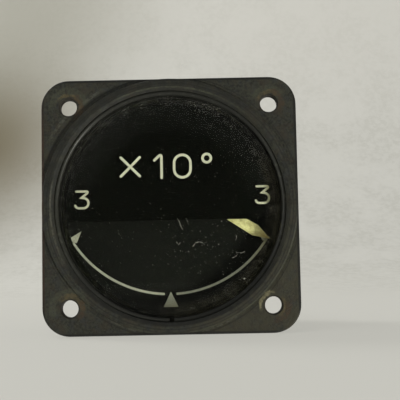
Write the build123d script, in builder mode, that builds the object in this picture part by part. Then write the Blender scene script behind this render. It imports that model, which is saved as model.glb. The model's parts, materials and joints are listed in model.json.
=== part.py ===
from build123d import *
import os
from math import asin, cos, degrees, radians, sin, sqrt

# Bank indicator: a 60 mm class panel instrument with a square flange. A moving-magnet
# ratiometer swings a yellow pointer over the lower half of a black dial.
# The dial faces -Y with +Z up. Depths are measured along +Y, into the instrument,
# from the rear face of the flange. All lengths are millimetres.
# The case is sized round the movement, whose spindle stands above the dial's centre.

# Screws: shank diameter, head diameter, head height, slot width, slot depth
screw_fine = (1.4, 2.6, 0.8, 0.4, 0.4)
screw_small = (1.6, 3.0, 0.9, 0.4, 0.45)
screw_mid = (2.0, 3.5, 1.1, 0.5, 0.5)
screw_large = (2.5, 4.2, 1.5, 0.6, 0.7)
screw_slot_angle = 30.0
screw_hole_slack = 0.1
screw_end_gap = 0.5
thread_depth = 2.2
running_clearance = 0.05
fixed_clearance = 0.02

# Spindle and bearings
pivot_height = 6.3
journal_diameter = 1.2
spindle_diameter = 2.0
spindle_overhang = 0.1
spindle_shoulder_gap = 0.9
spindle_tail_length = 2.4
spindle_tail_cone = 0.8
pivot_diameter = 0.7
ring_jewel_diameter = 2.9
ring_jewel_thickness = 0.9
bush_diameter = 5.0
bush_overhang = 1.4
bush_rear_overhang = 0.15
bush_bore = 2.0
cup_jewel_diameter = 2.2
cup_jewel_thickness = 1.0
cup_depth = 0.7
end_shake = 0.06
jewel_screw_diameter = 4.0
jewel_screw_nose = 2.65
jewel_screw_tail = 2.0
jewel_screw_lid_gap = 0.3
jewel_screw_slot_width = 0.6
jewel_screw_slot_depth = 0.8
locknut_across_flats = 7.0
locknut_thickness = 1.2

# Rotor magnet, damper, stator and screening can, from the spindle outwards
magnet_diameter = 9.4
magnet_flat_depth = 0.5
magnet_length = 11.0
magnet_air_gap = 0.6
damper_wall = 0.8
damper_lid_thickness = 0.8
damper_hole_clearance = 0.4
damper_screw_offset = 1.2
damper_flange_margin = 1.4
winding_bore_gap = 0.5
winding_inner_thickness = 1.8
core_width = 3.6
core_length = 10.0
core_clearance = 0.05
winding_outer_thickness = 2.0
winding_end_thickness = 2.0
winding_edge_radius = 0.6
winding_count = 3
winding_gap_angle = 16.0
cheek_thickness = 1.2
cheek_pillar_overlap = 0.5
pillar_diameter = 2.8
pillar_winding_gap = 0.5
pillar_can_gap = 0.5
pillar_angles = [50.0, 130.0, 270.0]
can_wall = 0.8

# Bridges of the movement frame and the stops on the front one
front_bridge_thickness = 1.6
rear_bridge_thickness = 2.0
bridge_window_angle = 74.0
bridge_window_corner = 1.0
bridge_window_inset = 3.7
bridge_window_stop_gap = 0.5
stop_radius = 5.0
stop_pin_diameter = 1.0
stop_pin_length = 2.4
stop_pin_end_gap = 1.15
stop_arm_width = 1.2
stop_arm_overhang = 0.7
stop_arm_thickness = 0.8
stop_arm_setback = 1.2
stop_arm_hub_diameter = 3.8
stop_gap = 0.03
mount_post_length = 3.0
mount_post_across_flats = 4.0
mount_post_inset = 2.7
mount_post_angles = [90.0, 210.0, 330.0]
parking_magnet_size = (3.0, 2.6, 7.0)
parking_magnet_offset = 2.3
parking_strap_thickness = 0.4
parking_strap_foot = 2.2
parking_strap_width = 3.0

# Barrel and boss of the housing, round the movement
movement_clearance = 1.0
barrel_wall = 2.35
barrel_front_wall = 1.1
barrel_taper = 0.4
barrel_spigot_length = 10.0
barrel_end_chamfer = 0.6
barrel_rear_space = 9.35
web_width = 3.9
web_thickness = 2.4
boss_rim = 2.7
boss_height = 1.0
boss_edge_radius = 0.35

# Square flange and its screw holes
flange_side_margin = 0.15
flange_top_margin = 0.15
flange_thickness = 3.0
flange_corner_radius = 6.5
flange_edge_radius = 0.4
screw_inset = 6.4
screw_hole_diameter = 4.0
screw_hole_chamfer = 0.25

# Window: glass on a gasket, held by a split wire ring in a groove
mouth_bevel_width = 0.9
mouth_bevel_depth = 0.45
ring_wire_diameter = 1.3
ring_setback = 1.6
ring_gap_length = 5.0
groove_depth = 0.35
groove_clearance = 0.05
glass_thickness = 1.8
glass_edge_chamfer = 0.25
gasket_thickness = 0.5
gasket_width = 1.0
sight_ring_length = 1.9
sight_ring_front_width = 1.45
sight_ring_rear_width = 2.15
drop_in_clearance = 0.2

# Dial in two levels: a full disc below, and a plate over its upper part
dial_thickness = 0.8
dial_clearance = 0.3
dial_edge_clearance = 0.4
dial_hole_clearance = 0.95
dial_post_angles = [16.0, 90.0, 164.0]
dial_post_across_flats = 3.6
dial_post_length = 2.6
cover_plate_thickness = 0.6
cover_plate_gap = 0.35
cover_plate_edge_height = -3.25
cover_plate_clearance = 0.3
cover_stud_diameter = 3.0
cover_stud_inset = 4.1
cover_stud_angles = [6.0, 65.0, 115.0, 174.0]

# Pointer, hub and balance weights
rest_angle = 58.5
pointer_end_clearance = 0.2
pointer_point_length = 4.1
pointer_shoulder_width = 2.8
pointer_root_radius = 12.0
pointer_root_width = 2.0
pointer_thickness = 0.25
pointer_ridge_height = 0.2
pointer_dial_clearance = 0.6
pointer_arm_width = 1.2
pointer_eye_diameter = 4.6
tail_length = 8.0
side_arm_length = 5.0
hub_nose_diameter = 2.5
hub_flange_diameter = 3.8
hub_flange_thickness = 0.3
hub_end_gap = 0.1
weight_width = 2.0
weight_length = 1.6
weight_wall = 0.2

# Base plate and the terminal board behind it
base_plate_thickness = 2.0
base_plate_clearance = 0.4
base_adjust_hole = 8.0
base_screw_angles = [90.0, 210.0, 330.0]
board_height = 12.0
board_thickness = 1.2
board_drop = 8.0
board_corner_radius = 1.5
standoff_length = 4.0
standoff_diameter = 3.6
standoff_inset = 2.5
standoff_resistor_gap = 1.2
lug_spacing = 4.2
lug_count = 5
lug_drop = 3.4
lug_diameter = 1.6
lug_collar_diameter = 2.4
lug_collar_thickness = 0.5
lug_height = 2.0
resistor_diameter = 3.2
resistor_length = 8.0
resistor_flange_thickness = 0.8
resistor_flange_height = 0.35
resistor_gap = 3.0
resistor_rise = 2.2

# Rear cover and connector
rear_gasket_thickness = 0.5
rear_gasket_margin = 3.3
rear_cover_thickness = 2.5
rear_cover_edge = 0.8
cover_seat_margin = 1.9
cover_seat_height = 1.2
cover_seat_slope = 0.6
cover_screw_inset = 1.7
cover_screw_angles = [45.0, 135.0, 225.0, 315.0]
screw_post_diameter = 5.0
insert_diameter = 3.4
insert_length = 6.0
connector_gasket_thickness = 0.4
connector_flange_thickness = 2.0
connector_flange_corner = 2.5
connector_screw_gap = 1.85
connector_screw_inset = 3.1
connector_hole_clearance = 0.3
shell_diameter = 18.0
shell_wall = 1.4
shell_length = 13.0
shell_inner_length = 4.0
shell_tail_step = 0.5
shell_key_width = 1.6
shell_key_height = 0.7
shell_key_setback = 1.0
shell_mouth_chamfer = 0.5
disc_projection = 6.0
pin_count = 5
pin_circle_diameter = 9.6
pin_diameter = 1.5
pin_tip_radius = 0.35
pin_recess = 1.6
solder_cup_diameter = 2.0
solder_cup_length = 3.6
solder_cup_hole = 1.2
solder_cup_depth = 2.4

# Radii from the spindle outwards
damper_inner_radius = magnet_diameter / 2 + magnet_air_gap
damper_outer_radius = damper_inner_radius + damper_wall
damper_hole_radius = spindle_diameter / 2 + damper_hole_clearance
damper_screw_radius = damper_outer_radius + damper_screw_offset
damper_flange_radius = damper_screw_radius + damper_flange_margin
winding_inner_radius = damper_outer_radius + winding_bore_gap
core_inner_radius = winding_inner_radius + winding_inner_thickness
core_outer_radius = core_inner_radius + core_width
winding_outer_radius = core_outer_radius + winding_outer_thickness
pillar_radius = winding_outer_radius + pillar_winding_gap + pillar_diameter / 2
cheek_radius = pillar_radius + cheek_pillar_overlap
can_inner_radius = pillar_radius + pillar_diameter / 2 + pillar_can_gap
bridge_radius = can_inner_radius + can_wall
window_inner_radius = stop_radius + stop_pin_diameter / 2 + bridge_window_stop_gap
window_outer_radius = pillar_radius - bridge_window_inset
mount_post_radius = pillar_radius - mount_post_inset
parking_radius = damper_flange_radius + parking_magnet_offset
stop_arm_length = stop_radius + stop_pin_diameter / 2 + stop_arm_overhang
dial_hole_radius = hub_nose_diameter / 2 + dial_hole_clearance

# Radii from the dial's centre outwards
barrel_bore_radius = bridge_radius + pivot_height + movement_clearance
barrel_radius = barrel_bore_radius + barrel_wall
barrel_rear_radius = barrel_radius - barrel_taper
web_radius = barrel_bore_radius - web_width
mouth_radius = barrel_radius - barrel_front_wall
boss_radius = mouth_radius + boss_rim
flange_width = 2 * (boss_radius + flange_side_margin)
flange_height = 2 * (boss_radius + flange_top_margin)
groove_radius = mouth_radius + groove_depth
ring_radius = groove_radius - groove_clearance - ring_wire_diameter / 2
drop_in_radius = mouth_radius - drop_in_clearance
sight_front_radius = mouth_radius - sight_ring_front_width
sight_rear_radius = mouth_radius - sight_ring_rear_width
dial_radius = barrel_bore_radius - dial_edge_clearance
cover_plate_radius = sight_rear_radius - cover_plate_clearance
cover_stud_radius = cover_plate_radius - cover_stud_inset
base_radius = barrel_bore_radius - base_plate_clearance
base_screw_radius = barrel_bore_radius - web_width / 2
rear_cover_radius = barrel_rear_radius - barrel_end_chamfer
cover_screw_radius = barrel_bore_radius - cover_screw_inset
connector_screw_reach = (shell_diameter / 2 + connector_screw_gap + screw_mid[1] / 2) / sqrt(2)
connector_flange_width = 2 * (connector_screw_reach + connector_screw_inset)
connector_diagonal = connector_flange_width / sqrt(2) - connector_flange_corner * (sqrt(2) - 1)
cover_seat_radius = connector_diagonal + cover_seat_margin
shell_bore_radius = shell_diameter / 2 - shell_wall
shell_tail_radius = shell_diameter / 2 - shell_tail_step
connector_hole_radius = shell_tail_radius + connector_hole_clearance

# Depths from the front rearwards
flange_front = -flange_thickness
boss_front = flange_front - boss_height
groove_centre = boss_front + ring_setback
groove_half = ring_wire_diameter / 2 + groove_clearance
glass_front = groove_centre + ring_wire_diameter / 2
glass_back = glass_front + glass_thickness
gasket_back = glass_back + gasket_thickness
shoulder_depth = gasket_back + sight_ring_length
dial_front = shoulder_depth + dial_clearance
dial_back = dial_front + dial_thickness
pointer_back = dial_front - pointer_dial_clearance
pointer_front = pointer_back - pointer_thickness - pointer_ridge_height
cover_plate_back = pointer_front - cover_plate_gap
front_bridge_front = dial_back + dial_post_length
front_bridge_back = front_bridge_front + front_bridge_thickness
bush_front = front_bridge_front - bush_overhang
bush_back = front_bridge_back + bush_rear_overhang
hub_back = bush_front - hub_end_gap
stop_arm_front = front_bridge_back + stop_arm_setback
front_cheek_front = front_bridge_back + stop_pin_length + stop_pin_end_gap
winding_front = front_cheek_front + cheek_thickness
core_front = winding_front + winding_end_thickness
core_back = core_front + core_length
winding_back = core_back + winding_end_thickness
damper_front = core_front - 2 * damper_wall
damper_seat = winding_back + cheek_thickness
damper_flange_back = damper_seat + damper_wall
damper_lid_back = damper_flange_back + damper_lid_thickness
magnet_front = damper_front + damper_wall + magnet_air_gap
jewel_screw_front = damper_lid_back + jewel_screw_lid_gap
rear_bridge_front = jewel_screw_front + jewel_screw_nose
rear_bridge_back = rear_bridge_front + rear_bridge_thickness
jewel_screw_back = rear_bridge_back + jewel_screw_tail
cup_bottom = jewel_screw_front + cup_depth
pivot_tip = cup_bottom - end_shake
base_front = rear_bridge_back + mount_post_length
base_back = base_front + base_plate_thickness
web_back = base_back + web_thickness
board_front = base_back + standoff_length
board_back = board_front + board_thickness
barrel_length = web_back + barrel_rear_space
cover_front = barrel_length + rear_gasket_thickness
cover_back = cover_front + rear_cover_thickness
connector_seat = cover_back + cover_seat_height
connector_flange_front = connector_seat + connector_gasket_thickness
connector_flange_back = connector_flange_front + connector_flange_thickness
shell_end = connector_flange_back + shell_length
disc_front = connector_flange_front - shell_inner_length
disc_back = connector_flange_back + disc_projection

# The parked pointer ends just inside the sight ring, and swings as far to the other side
swing_angle = 2 * rest_angle
pointer_reach = sight_rear_radius - pointer_end_clearance
pointer_tip_radius = pivot_height * cos(radians(rest_angle)) + sqrt(
    pointer_reach**2 - (pivot_height * sin(radians(rest_angle)))**2)
pointer_shoulder_radius = pointer_tip_radius - pointer_point_length

spindle_axis = Axis((0, 0, pivot_height), (0, 1, 0))
spindle_section = Plane.XY.offset(pivot_height)


def at_depth(depth):
    """Plane square to the dial axis at a depth, seen from the front."""
    return Plane.XZ.offset(-depth)


def on_spindle(depth, angle=0.0):
    """Plane at a depth, centred on the spindle, with its x axis turned to an angle."""
    turn = radians(angle)
    return Plane(origin=(0, depth, pivot_height), x_dir=(cos(turn), 0, sin(turn)), z_dir=(0, -1, 0))


def along_pointer(depth):
    """Plane at a depth, centred on the spindle, with its x axis along the parked pointer."""
    return on_spindle(depth, rest_angle - 90)


def polar_places(radius, angles):
    """Points on a circle, at angles counted from the right, as seen from the front."""
    return [(radius * cos(radians(a)), radius * sin(radians(a))) for a in angles]


def spindle_places(radius, angles):
    """Points on a circle round the spindle, in the dial's own coordinates."""
    return [(x, y + pivot_height) for x, y in polar_places(radius, angles)]


def turned(profile, section=Plane.XY, axis=Axis.Y, mode=Mode.ADD):
    """Spin a closed outline of (radius, depth) points into a turned solid or cut."""
    with BuildSketch(section) as outline:
        with BuildLine():
            Polyline(*profile, close=True)
        make_face()
    revolve(outline.sketch, axis=axis, mode=mode)


def ring_outline(inner, outer, front, back):
    """Corner points of the section of a plain ring."""
    return [(inner, front), (outer, front), (outer, back), (inner, back)]


def drilled(places, diameter, front, back):
    """Round holes through the current part, between two depths."""
    with BuildSketch(at_depth(back)) as holes:
        with Locations(*places):
            Circle(diameter / 2)
    extrude(holes.sketch, amount=back - front, mode=Mode.SUBTRACT)


def screws_facing(places, size, seat, length, towards_front):
    """Slotted cheese-head screws with their heads on a face at the seat depth."""
    shank, head, height, slot_width, slot_depth = size
    way = 1 if towards_front else -1
    with BuildSketch(at_depth(seat)) as heads:
        with Locations(*places):
            Circle(head / 2)
    extrude(heads.sketch, amount=way * height)
    with BuildSketch(at_depth(seat)) as shanks:
        with Locations(*places):
            Circle(shank / 2)
    extrude(shanks.sketch, amount=-way * length)
    with BuildSketch(at_depth(seat - way * height)) as slots:
        with Locations(*places):
            Rectangle(2 * head, slot_width, rotation=screw_slot_angle)
    extrude(slots.sketch, amount=-way * slot_depth, mode=Mode.SUBTRACT)


def hex_posts(places, across_flats, front, back, tapped):
    """Hexagonal spacers between two depths, tapped right through."""
    with BuildSketch(at_depth(back)) as sections:
        with Locations(*places):
            RegularPolygon(across_flats / 2, 6, major_radius=False)
        with Locations(*places):
            Circle(tapped / 2, mode=Mode.SUBTRACT)
    extrude(sections.sketch, amount=back - front)


def save(builder, name):
    builder.part.label = name
    export_step(builder.part, f"parts/{name}.step")


os.makedirs("parts", exist_ok=True)

dial_post_places = spindle_places(pillar_radius, dial_post_angles)
cover_stud_places = polar_places(cover_stud_radius, cover_stud_angles)
cover_screw_places = polar_places(cover_screw_radius, cover_screw_angles)
base_screw_places = polar_places(base_screw_radius, base_screw_angles)
mount_post_places = spindle_places(mount_post_radius, mount_post_angles)
damper_screw_places = spindle_places(damper_screw_radius, pillar_angles)

# Housing: square flange, round boss and barrel, moulded in one
with BuildPart() as housing:
    with BuildSketch(at_depth(0)):
        RectangleRounded(flange_width, flange_height, flange_corner_radius)
    extrude(amount=flange_thickness)
    fillet(faces().sort_by(Axis.Y)[0].edges(), flange_edge_radius)
    fillet(faces().sort_by(Axis.Y)[-1].edges(), flange_edge_radius)
    turned([
        (0, boss_front),
        (boss_radius, boss_front),
        (boss_radius, flange_front / 2),
        (barrel_radius, flange_front / 2),
        (barrel_radius, barrel_spigot_length),
        (barrel_rear_radius, barrel_length - barrel_end_chamfer),
        (barrel_rear_radius - barrel_end_chamfer, barrel_length),
        (0, barrel_length),
    ])
    fillet(edges().filter_by(GeomType.CIRCLE).sort_by(Axis.Y)[0], boss_edge_radius)
    turned([
        (0, boss_front),
        (mouth_radius + mouth_bevel_width, boss_front),
        (mouth_radius, boss_front + mouth_bevel_depth),
        (mouth_radius, groove_centre - groove_half),
        (groove_radius, groove_centre - groove_half),
        (groove_radius, groove_centre + groove_half),
        (mouth_radius, groove_centre + groove_half),
        (mouth_radius, shoulder_depth),
        (barrel_bore_radius, shoulder_depth),
        (barrel_bore_radius, base_back),
        (web_radius, base_back),
        (web_radius, web_back),
        (barrel_bore_radius, web_back),
        (barrel_bore_radius, barrel_length),
        (0, barrel_length),
    ], mode=Mode.SUBTRACT)
    with BuildSketch(at_depth(barrel_length)):
        with Locations(*cover_screw_places):
            Circle(screw_post_diameter / 2)
    extrude(amount=barrel_length - web_back)
    drilled(cover_screw_places, insert_diameter,
            barrel_length - insert_length - screw_hole_slack, barrel_length)
    drilled(base_screw_places, screw_mid[0] + 2 * screw_hole_slack, base_back, web_back)
    with BuildSketch(at_depth(0)):
        with GridLocations(flange_width - 2 * screw_inset, flange_height - 2 * screw_inset, 2, 2):
            Circle(screw_hole_diameter / 2)
    extrude(amount=flange_thickness, mode=Mode.SUBTRACT)
    hole_rims = edges().filter_by(GeomType.CIRCLE).filter_by(
        lambda edge: abs(edge.radius - screw_hole_diameter / 2) < 0.01)
    chamfer(hole_rims, screw_hole_chamfer)
save(housing, "housing")

# Split wire ring that holds the glass, with its gap at the bottom
ring_gap_angle = degrees(ring_gap_length / ring_radius)
ring_start = radians(270 + ring_gap_angle / 2)
ring_section = Plane(origin=(0, 0, 0), x_dir=(cos(ring_start), 0, sin(ring_start)),
                     z_dir=(-sin(ring_start), 0, cos(ring_start)))
with BuildPart() as snap_ring:
    with BuildSketch(ring_section):
        with Locations((ring_radius, groove_centre)):
            Circle(ring_wire_diameter / 2)
    revolve(axis=Axis.Y, revolution_arc=-(360 - ring_gap_angle))
save(snap_ring, "snap_ring")

with BuildPart() as glass:
    turned(ring_outline(0, drop_in_radius, glass_front, glass_back))
    chamfer(edges().filter_by(GeomType.CIRCLE), glass_edge_chamfer)
save(glass, "glass")

with BuildPart() as glass_gasket:
    turned(ring_outline(drop_in_radius - gasket_width, drop_in_radius, glass_back, gasket_back))
save(glass_gasket, "glass_gasket")

# Sight ring: the sloping wall seen between the glass and the dial
with BuildPart() as sight_ring:
    turned([
        (sight_front_radius, gasket_back),
        (drop_in_radius, gasket_back),
        (drop_in_radius, shoulder_depth),
        (sight_rear_radius, shoulder_depth),
    ])
save(sight_ring, "sight_ring")

# Dial disc with its fixing holes
with BuildPart() as dial_plate:
    turned(ring_outline(0, dial_radius, dial_front, dial_back))
    drilled([(0, pivot_height)], 2 * dial_hole_radius, dial_front, dial_back)
    drilled(dial_post_places, screw_small[0] + 2 * screw_hole_slack, dial_front, dial_back)
    drilled(cover_stud_places, screw_fine[0] + 2 * screw_hole_slack, dial_front, dial_back)
save(dial_plate, "dial_plate")

# Cover plate over the upper part of the dial, open below its straight edge
with BuildPart() as cover_plate:
    with BuildSketch(at_depth(cover_plate_back)):
        Circle(cover_plate_radius)
        with Locations((0, cover_plate_edge_height)):
            Rectangle(2 * cover_plate_radius, 2 * cover_plate_radius,
                      align=(Align.CENTER, Align.MAX), mode=Mode.SUBTRACT)
    extrude(amount=cover_plate_thickness)
save(cover_plate, "cover_plate")

with BuildPart() as cover_studs:
    with BuildSketch(at_depth(dial_front)):
        with Locations(*cover_stud_places):
            Circle(cover_stud_diameter / 2)
        with Locations(*cover_stud_places):
            Circle(screw_fine[0] / 2 + fixed_clearance, mode=Mode.SUBTRACT)
    extrude(amount=dial_front - cover_plate_back)
save(cover_studs, "cover_studs")

with BuildPart() as cover_stud_screws:
    screws_facing(cover_stud_places, screw_fine, dial_back,
                  dial_back - cover_plate_back - screw_hole_slack, towards_front=False)
save(cover_stud_screws, "cover_stud_screws")

with BuildPart() as dial_screws:
    screws_facing(dial_post_places, screw_small, dial_front,
                  dial_thickness + thread_depth, towards_front=True)
save(dial_screws, "dial_screws")

with BuildPart() as dial_posts:
    hex_posts(dial_post_places, dial_post_across_flats, dial_back, front_bridge_front,
              screw_small[0] + 2 * fixed_clearance)
save(dial_posts, "dial_posts")


def bridge(thickness, back, centre_bore):
    """Round plate of the movement frame, with its bore and the pillar screws' holes."""
    with BuildSketch(on_spindle(back)) as disc:
        Circle(bridge_radius)
        Circle(centre_bore / 2, mode=Mode.SUBTRACT)
        with Locations(*polar_places(pillar_radius, pillar_angles)):
            Circle(screw_mid[0] / 2 + screw_hole_slack, mode=Mode.SUBTRACT)
    extrude(disc.sketch, amount=thickness)


def bridge_windows(thickness, back):
    """Three curved windows between the spokes of a bridge."""
    spoke_angle = 360 / 3 - bridge_window_angle
    with BuildSketch(on_spindle(back)) as windows:
        Circle(window_outer_radius)
        Circle(window_inner_radius, mode=Mode.SUBTRACT)
        for index in range(3):
            direction = 30 + 120 * index
            spoke_ends = polar_places(2 * window_outer_radius,
                                      [direction - spoke_angle / 2, direction + spoke_angle / 2])
            with BuildLine():
                Polyline((0, 0), *spoke_ends, close=True)
            make_face(mode=Mode.SUBTRACT)
        fillet(windows.vertices(), bridge_window_corner)
    extrude(windows.sketch, amount=thickness, mode=Mode.SUBTRACT)


# Front bridge with its ring-jewel bush and stop pins
with BuildPart() as front_bridge:
    bridge(front_bridge_thickness, front_bridge_back, bush_diameter + 2 * fixed_clearance)
    bridge_windows(front_bridge_thickness, front_bridge_back)
    drilled(dial_post_places, screw_small[0] + 2 * screw_hole_slack,
            front_bridge_front, front_bridge_back)
save(front_bridge, "front_bridge")

with BuildPart() as front_bush:
    turned([
        (ring_jewel_diameter / 2 + fixed_clearance, bush_front),
        (bush_diameter / 2, bush_front),
        (bush_diameter / 2, bush_back),
        (bush_bore / 2, bush_back),
        (bush_bore / 2, bush_front + ring_jewel_thickness),
        (ring_jewel_diameter / 2 + fixed_clearance, bush_front + ring_jewel_thickness),
    ], spindle_section, spindle_axis)
save(front_bush, "front_bush")

with BuildPart() as ring_jewel:
    turned(ring_outline(journal_diameter / 2 + running_clearance, ring_jewel_diameter / 2,
                        bush_front, bush_front + ring_jewel_thickness),
           spindle_section, spindle_axis)
save(ring_jewel, "ring_jewel")


def locknut(back):
    """Thin hexagon nut on the spindle axis."""
    with BuildSketch(on_spindle(back)) as hexagon:
        RegularPolygon(locknut_across_flats / 2, 6, major_radius=False)
    extrude(hexagon.sketch, amount=locknut_thickness)


with BuildPart() as front_locknut:
    locknut(front_bridge_front)
    drilled([(0, pivot_height)], bush_diameter + 2 * fixed_clearance,
            front_bridge_front - locknut_thickness, front_bridge_front)
save(front_locknut, "front_locknut")

# Rear bridge, cup jewel in its adjusting screw, and locknut
with BuildPart() as rear_bridge:
    bridge(rear_bridge_thickness, rear_bridge_back, jewel_screw_diameter + 2 * fixed_clearance)
    drilled(mount_post_places, screw_mid[0] + 2 * screw_hole_slack,
            rear_bridge_front, rear_bridge_back)
save(rear_bridge, "rear_bridge")

with BuildPart() as jewel_screw:
    turned([
        (cup_jewel_diameter / 2 + fixed_clearance, jewel_screw_front),
        (jewel_screw_diameter / 2, jewel_screw_front),
        (jewel_screw_diameter / 2, jewel_screw_back),
        (0, jewel_screw_back),
        (0, jewel_screw_front + cup_jewel_thickness),
        (cup_jewel_diameter / 2 + fixed_clearance, jewel_screw_front + cup_jewel_thickness),
    ], spindle_section, spindle_axis)
    with BuildSketch(on_spindle(jewel_screw_back)):
        Rectangle(2 * jewel_screw_diameter, jewel_screw_slot_width)
    extrude(amount=jewel_screw_slot_depth, mode=Mode.SUBTRACT)
save(jewel_screw, "jewel_screw")

with BuildPart() as cup_jewel:
    turned([
        (pivot_diameter / 2 + cup_depth / 2, jewel_screw_front),
        (cup_jewel_diameter / 2, jewel_screw_front),
        (cup_jewel_diameter / 2, jewel_screw_front + cup_jewel_thickness),
        (0, jewel_screw_front + cup_jewel_thickness),
        (0, cup_bottom),
    ], spindle_section, spindle_axis)
save(cup_jewel, "cup_jewel")

with BuildPart() as rear_locknut:
    locknut(rear_bridge_back + locknut_thickness)
    drilled([(0, pivot_height)], jewel_screw_diameter + 2 * fixed_clearance,
            rear_bridge_back, rear_bridge_back + locknut_thickness)
save(rear_locknut, "rear_locknut")

# Pillars, posts and screws that hold the frame together
with BuildPart() as frame_pillars:
    with BuildSketch(on_spindle(rear_bridge_front)):
        with Locations(*polar_places(pillar_radius, pillar_angles)):
            Circle(pillar_diameter / 2)
        with Locations(*polar_places(pillar_radius, pillar_angles)):
            Circle(screw_mid[0] / 2 + fixed_clearance, mode=Mode.SUBTRACT)
    extrude(amount=rear_bridge_front - front_bridge_back)
save(frame_pillars, "frame_pillars")

with BuildPart() as pillar_screws:
    screws_facing(spindle_places(pillar_radius, pillar_angles), screw_mid, front_bridge_front,
                  front_bridge_thickness + 2 * thread_depth, towards_front=True)
    screws_facing(spindle_places(pillar_radius, pillar_angles), screw_mid, rear_bridge_back,
                  rear_bridge_thickness + 2 * thread_depth, towards_front=False)
save(pillar_screws, "pillar_screws")

with BuildPart() as mount_posts:
    hex_posts(mount_post_places, mount_post_across_flats,
              rear_bridge_back, base_front, screw_mid[0] + 2 * fixed_clearance)
save(mount_posts, "mount_posts")

with BuildPart() as mount_screws:
    screws_facing(mount_post_places, screw_mid, base_back,
                  base_plate_thickness + mount_post_length + rear_bridge_thickness,
                  towards_front=False)
save(mount_screws, "mount_screws")

standoff_offset = (resistor_gap / 2 + resistor_length + standoff_resistor_gap
                   + standoff_diameter / 2)
standoff_places = [(-standoff_offset, -board_drop), (standoff_offset, -board_drop)]
with BuildPart() as base_plate:
    turned(ring_outline(0, base_radius, base_front, base_back))
    drilled([(0, pivot_height)], base_adjust_hole, base_front, base_back)
    drilled(mount_post_places, screw_mid[0] + 2 * screw_hole_slack, base_front, base_back)
    drilled(base_screw_places, screw_mid[0] + 2 * fixed_clearance, base_front, base_back)
    drilled(standoff_places, screw_small[0] + 2 * fixed_clearance, base_front, base_back)
save(base_plate, "base_plate")

with BuildPart() as base_screws:
    screws_facing(base_screw_places, screw_mid, web_back,
                  web_thickness + base_plate_thickness, towards_front=False)
save(base_screws, "base_screws")

# Stator: a ring core with three windings of equal arc, clamped between two cheeks
with BuildPart() as stator_core:
    turned(ring_outline(core_inner_radius, core_outer_radius, core_front, core_back),
           spindle_section, spindle_axis)
save(stator_core, "stator_core")


def winding(centre_angle):
    """One toroidal winding: a hollow section swept round part of the ring core."""
    arc = 360 / winding_count - winding_gap_angle
    start = radians(centre_angle - arc / 2)
    section = Plane(origin=(0, 0, pivot_height), x_dir=(cos(start), 0, sin(start)),
                    z_dir=(-sin(start), 0, cos(start)))
    middle = ((winding_inner_radius + winding_outer_radius) / 2, (winding_front + winding_back) / 2)
    core_middle = ((core_inner_radius + core_outer_radius) / 2, (core_front + core_back) / 2)
    with BuildPart() as coil:
        with BuildSketch(section):
            with Locations(middle):
                RectangleRounded(winding_outer_radius - winding_inner_radius,
                                 winding_back - winding_front, winding_edge_radius)
            with Locations(core_middle):
                Rectangle(core_width + 2 * core_clearance, core_length + 2 * core_clearance,
                          mode=Mode.SUBTRACT)
        revolve(axis=spindle_axis, revolution_arc=-arc)
    return coil


for index in range(winding_count):
    save(winding(90 + index * 360 / winding_count), f"winding_{index + 1}")

with BuildPart() as stator_cheeks:
    for back in (winding_front, damper_seat):
        with BuildSketch(on_spindle(back)):
            Circle(cheek_radius)
            Circle(damper_outer_radius + fixed_clearance, mode=Mode.SUBTRACT)
            with Locations(*polar_places(pillar_radius, pillar_angles)):
                Circle(pillar_diameter / 2 + fixed_clearance, mode=Mode.SUBTRACT)
        extrude(amount=cheek_thickness)
    drilled(damper_screw_places, screw_fine[0] + 2 * fixed_clearance, winding_back, damper_seat)
save(stator_cheeks, "stator_cheeks")

# Copper damper: a cup round the rotor magnet, closed by a lid
with BuildPart() as damper_cup:
    turned([
        (damper_hole_radius, damper_front),
        (damper_outer_radius, damper_front),
        (damper_outer_radius, damper_seat),
        (damper_flange_radius, damper_seat),
        (damper_flange_radius, damper_flange_back),
        (damper_inner_radius, damper_flange_back),
        (damper_inner_radius, damper_front + damper_wall),
        (damper_hole_radius, damper_front + damper_wall),
    ], spindle_section, spindle_axis)
    drilled(damper_screw_places, screw_fine[0] + 2 * screw_hole_slack,
            damper_seat, damper_flange_back)
save(damper_cup, "damper_cup")

with BuildPart() as damper_lid:
    turned(ring_outline(damper_hole_radius, damper_flange_radius, damper_flange_back,
                        damper_lid_back), spindle_section, spindle_axis)
    drilled(damper_screw_places, screw_fine[0] + 2 * screw_hole_slack,
            damper_flange_back, damper_lid_back)
save(damper_lid, "damper_lid")

with BuildPart() as damper_screws:
    screws_facing(damper_screw_places, screw_fine, damper_lid_back,
                  damper_lid_back - winding_back - screw_hole_slack, towards_front=False)
save(damper_screws, "damper_screws")

with BuildPart() as screening_can:
    turned(ring_outline(can_inner_radius, bridge_radius, front_bridge_back, rear_bridge_front),
           spindle_section, spindle_axis)
save(screening_can, "screening_can")

# Parking magnet and its strap on the rear bridge
park_width, park_depth, park_height = parking_magnet_size
with BuildPart() as parking_magnet:
    with BuildSketch(on_spindle(rear_bridge_front)):
        with Locations((parking_radius, 0)):
            Rectangle(park_width, park_height)
    extrude(amount=park_depth)
save(parking_magnet, "parking_magnet")

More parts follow.
